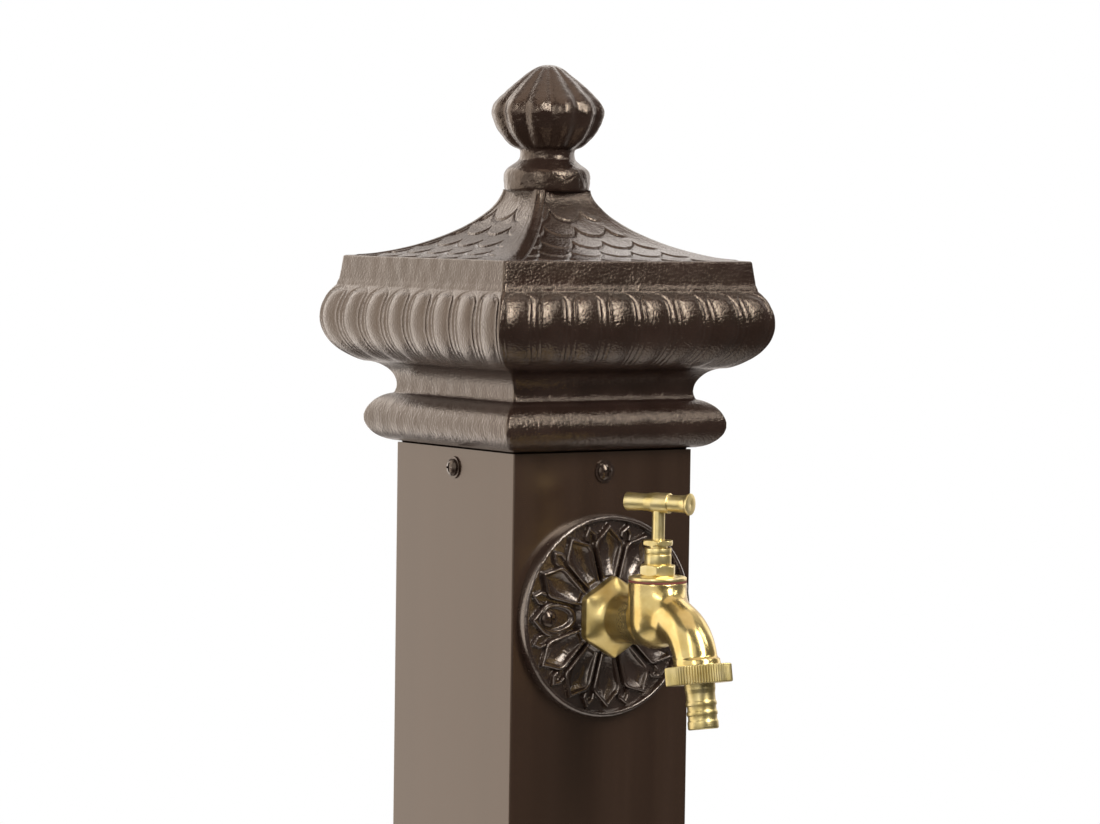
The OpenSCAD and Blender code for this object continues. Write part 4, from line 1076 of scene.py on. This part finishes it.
def studio_floor():
    """A pale disc that fades out, so that it meets the white background without an edge."""
    angle = np.linspace(0, 2 * math.pi, FLOOR_SIDES, endpoint=False)
    mesh = bpy.data.meshes.new("floor")
    edge = [(FLOOR_R * math.cos(a), FLOOR_R * math.sin(a), 0) for a in angle]
    mesh.from_pydata(edge, [], [range(FLOOR_SIDES)])
    floor = bpy.data.objects.new("floor", mesh)
    bpy.context.collection.objects.link(floor)
    mat, tree, shader = new_material("floor_paper", (0.8, 0.8, 0.8), 0.85)
    grain = noise(tree, coordinates(tree), 400, 3)
    bumped(tree, shader, [(grain, 0.05, 0.2)])
    place = node_of(tree, "ShaderNodeTexCoord")
    span = node_of(tree, "ShaderNodeVectorMath", {"operation": "LENGTH"})
    tree.links.new(place.outputs["Object"], span.inputs[0])
    tree.links.new(spread(tree, span.outputs["Value"], 1.0, 0.0, *FLOOR_FADE), shader.inputs["Alpha"])
    mesh.materials.append(mat)


def studio_world():
    """White behind the object for what is seen, dim on the camera's side for what is mirrored."""
    world = bpy.data.worlds.new("studio")
    bpy.context.scene.world = world
    world.use_nodes = True
    tree = world.node_tree
    tree.nodes.clear()
    output = tree.nodes.new("ShaderNodeOutputWorld")
    path = tree.nodes.new("ShaderNodeLightPath")
    white = node_of(tree, "ShaderNodeBackground", Color=(1, 1, 1, 1), Strength=1.0)
    fill = node_of(tree, "ShaderNodeBackground", Color=(1, 1, 1, 1), Strength=FILL_LEVEL)
    mirrored = node_of(tree, "ShaderNodeBackground", Strength=1.0)
    place = tree.nodes.new("ShaderNodeTexCoord")
    away = node_of(tree, "ShaderNodeVectorMath", {"operation": "DOT_PRODUCT"})
    away.inputs[1].default_value = (math.sin(CAMERA_AZ), math.cos(CAMERA_AZ), MIRROR_TILT)
    tree.links.new(place.outputs["Generated"], away.inputs[0])
    shade = spread(tree, away.outputs["Value"], 0.0, 1.0, *MIRROR_SPAN)
    tree.links.new(tones(tree, shade, MIRROR_TONES, MIRROR_PLACES), mirrored.inputs["Color"])
    sharp = combined(tree, "MAXIMUM", path.outputs["Is Glossy Ray"], path.outputs["Is Transmission Ray"])
    inner = tree.nodes.new("ShaderNodeMixShader")
    outer = tree.nodes.new("ShaderNodeMixShader")
    for mix, share, first, second in ((inner, sharp, fill, mirrored),
                                      (outer, path.outputs["Is Camera Ray"], inner, white)):
        tree.links.new(share, mix.inputs[0])
        tree.links.new(first.outputs[0], mix.inputs[1])
        tree.links.new(second.outputs[0], mix.inputs[2])
    tree.links.new(outer.outputs[0], output.inputs["Surface"])


def softbox(name, azimuth, elevation, reach, wide, tall, level, colour):
    """A softbox seen from the cap at an azimuth to the right of -Y, as bright as level times white."""
    a, e = math.radians(azimuth), math.radians(elevation)
    way = Vector((math.sin(a) * math.cos(e), -math.cos(a) * math.cos(e), math.sin(e)))
    data = bpy.data.lights.new(name, "AREA")
    data.shape = "RECTANGLE"
    data.size, data.size_y = wide, tall
    data.energy = level * math.pi * wide * tall
    data.color = colour
    lamp = bpy.data.objects.new(name, data)
    lamp.location = LAMP_TARGET + way * reach
    lamp.rotation_euler = (-way).to_track_quat("-Z", "Y").to_euler()
    lamp.visible_camera = False
    bpy.context.collection.objects.link(lamp)


def camera():
    """The camera fitted to the photograph."""
    forward = Vector((math.sin(CAMERA_TURN) * math.cos(CAMERA_PITCH),
                      math.cos(CAMERA_TURN) * math.cos(CAMERA_PITCH), -math.sin(CAMERA_PITCH)))
    right = Vector((math.cos(CAMERA_TURN), -math.sin(CAMERA_TURN), 0))
    up = right.cross(forward)
    rolled_right = right * math.cos(CAMERA_ROLL) + up * math.sin(CAMERA_ROLL)
    rolled_up = up * math.cos(CAMERA_ROLL) - right * math.sin(CAMERA_ROLL)
    data = bpy.data.cameras.new("camera")
    data.sensor_width = 36
    data.lens = data.sensor_width * FOCAL_PX / IMAGE_W
    lens = bpy.data.objects.new("camera", data)
    turn = Matrix((rolled_right, rolled_up, -forward)).transposed().to_4x4()
    lens.matrix_world = Matrix.Translation(
        (-math.sin(CAMERA_AZ) * CAMERA_D, -math.cos(CAMERA_AZ) * CAMERA_D, CAMERA_Z)) @ turn
    bpy.context.collection.objects.link(lens)
    bpy.context.scene.camera = lens


studio_floor()
studio_world()
for lamp_row in LAMPS:
    softbox(*lamp_row)
camera()
bpy.context.scene.view_settings.view_transform = "Standard"
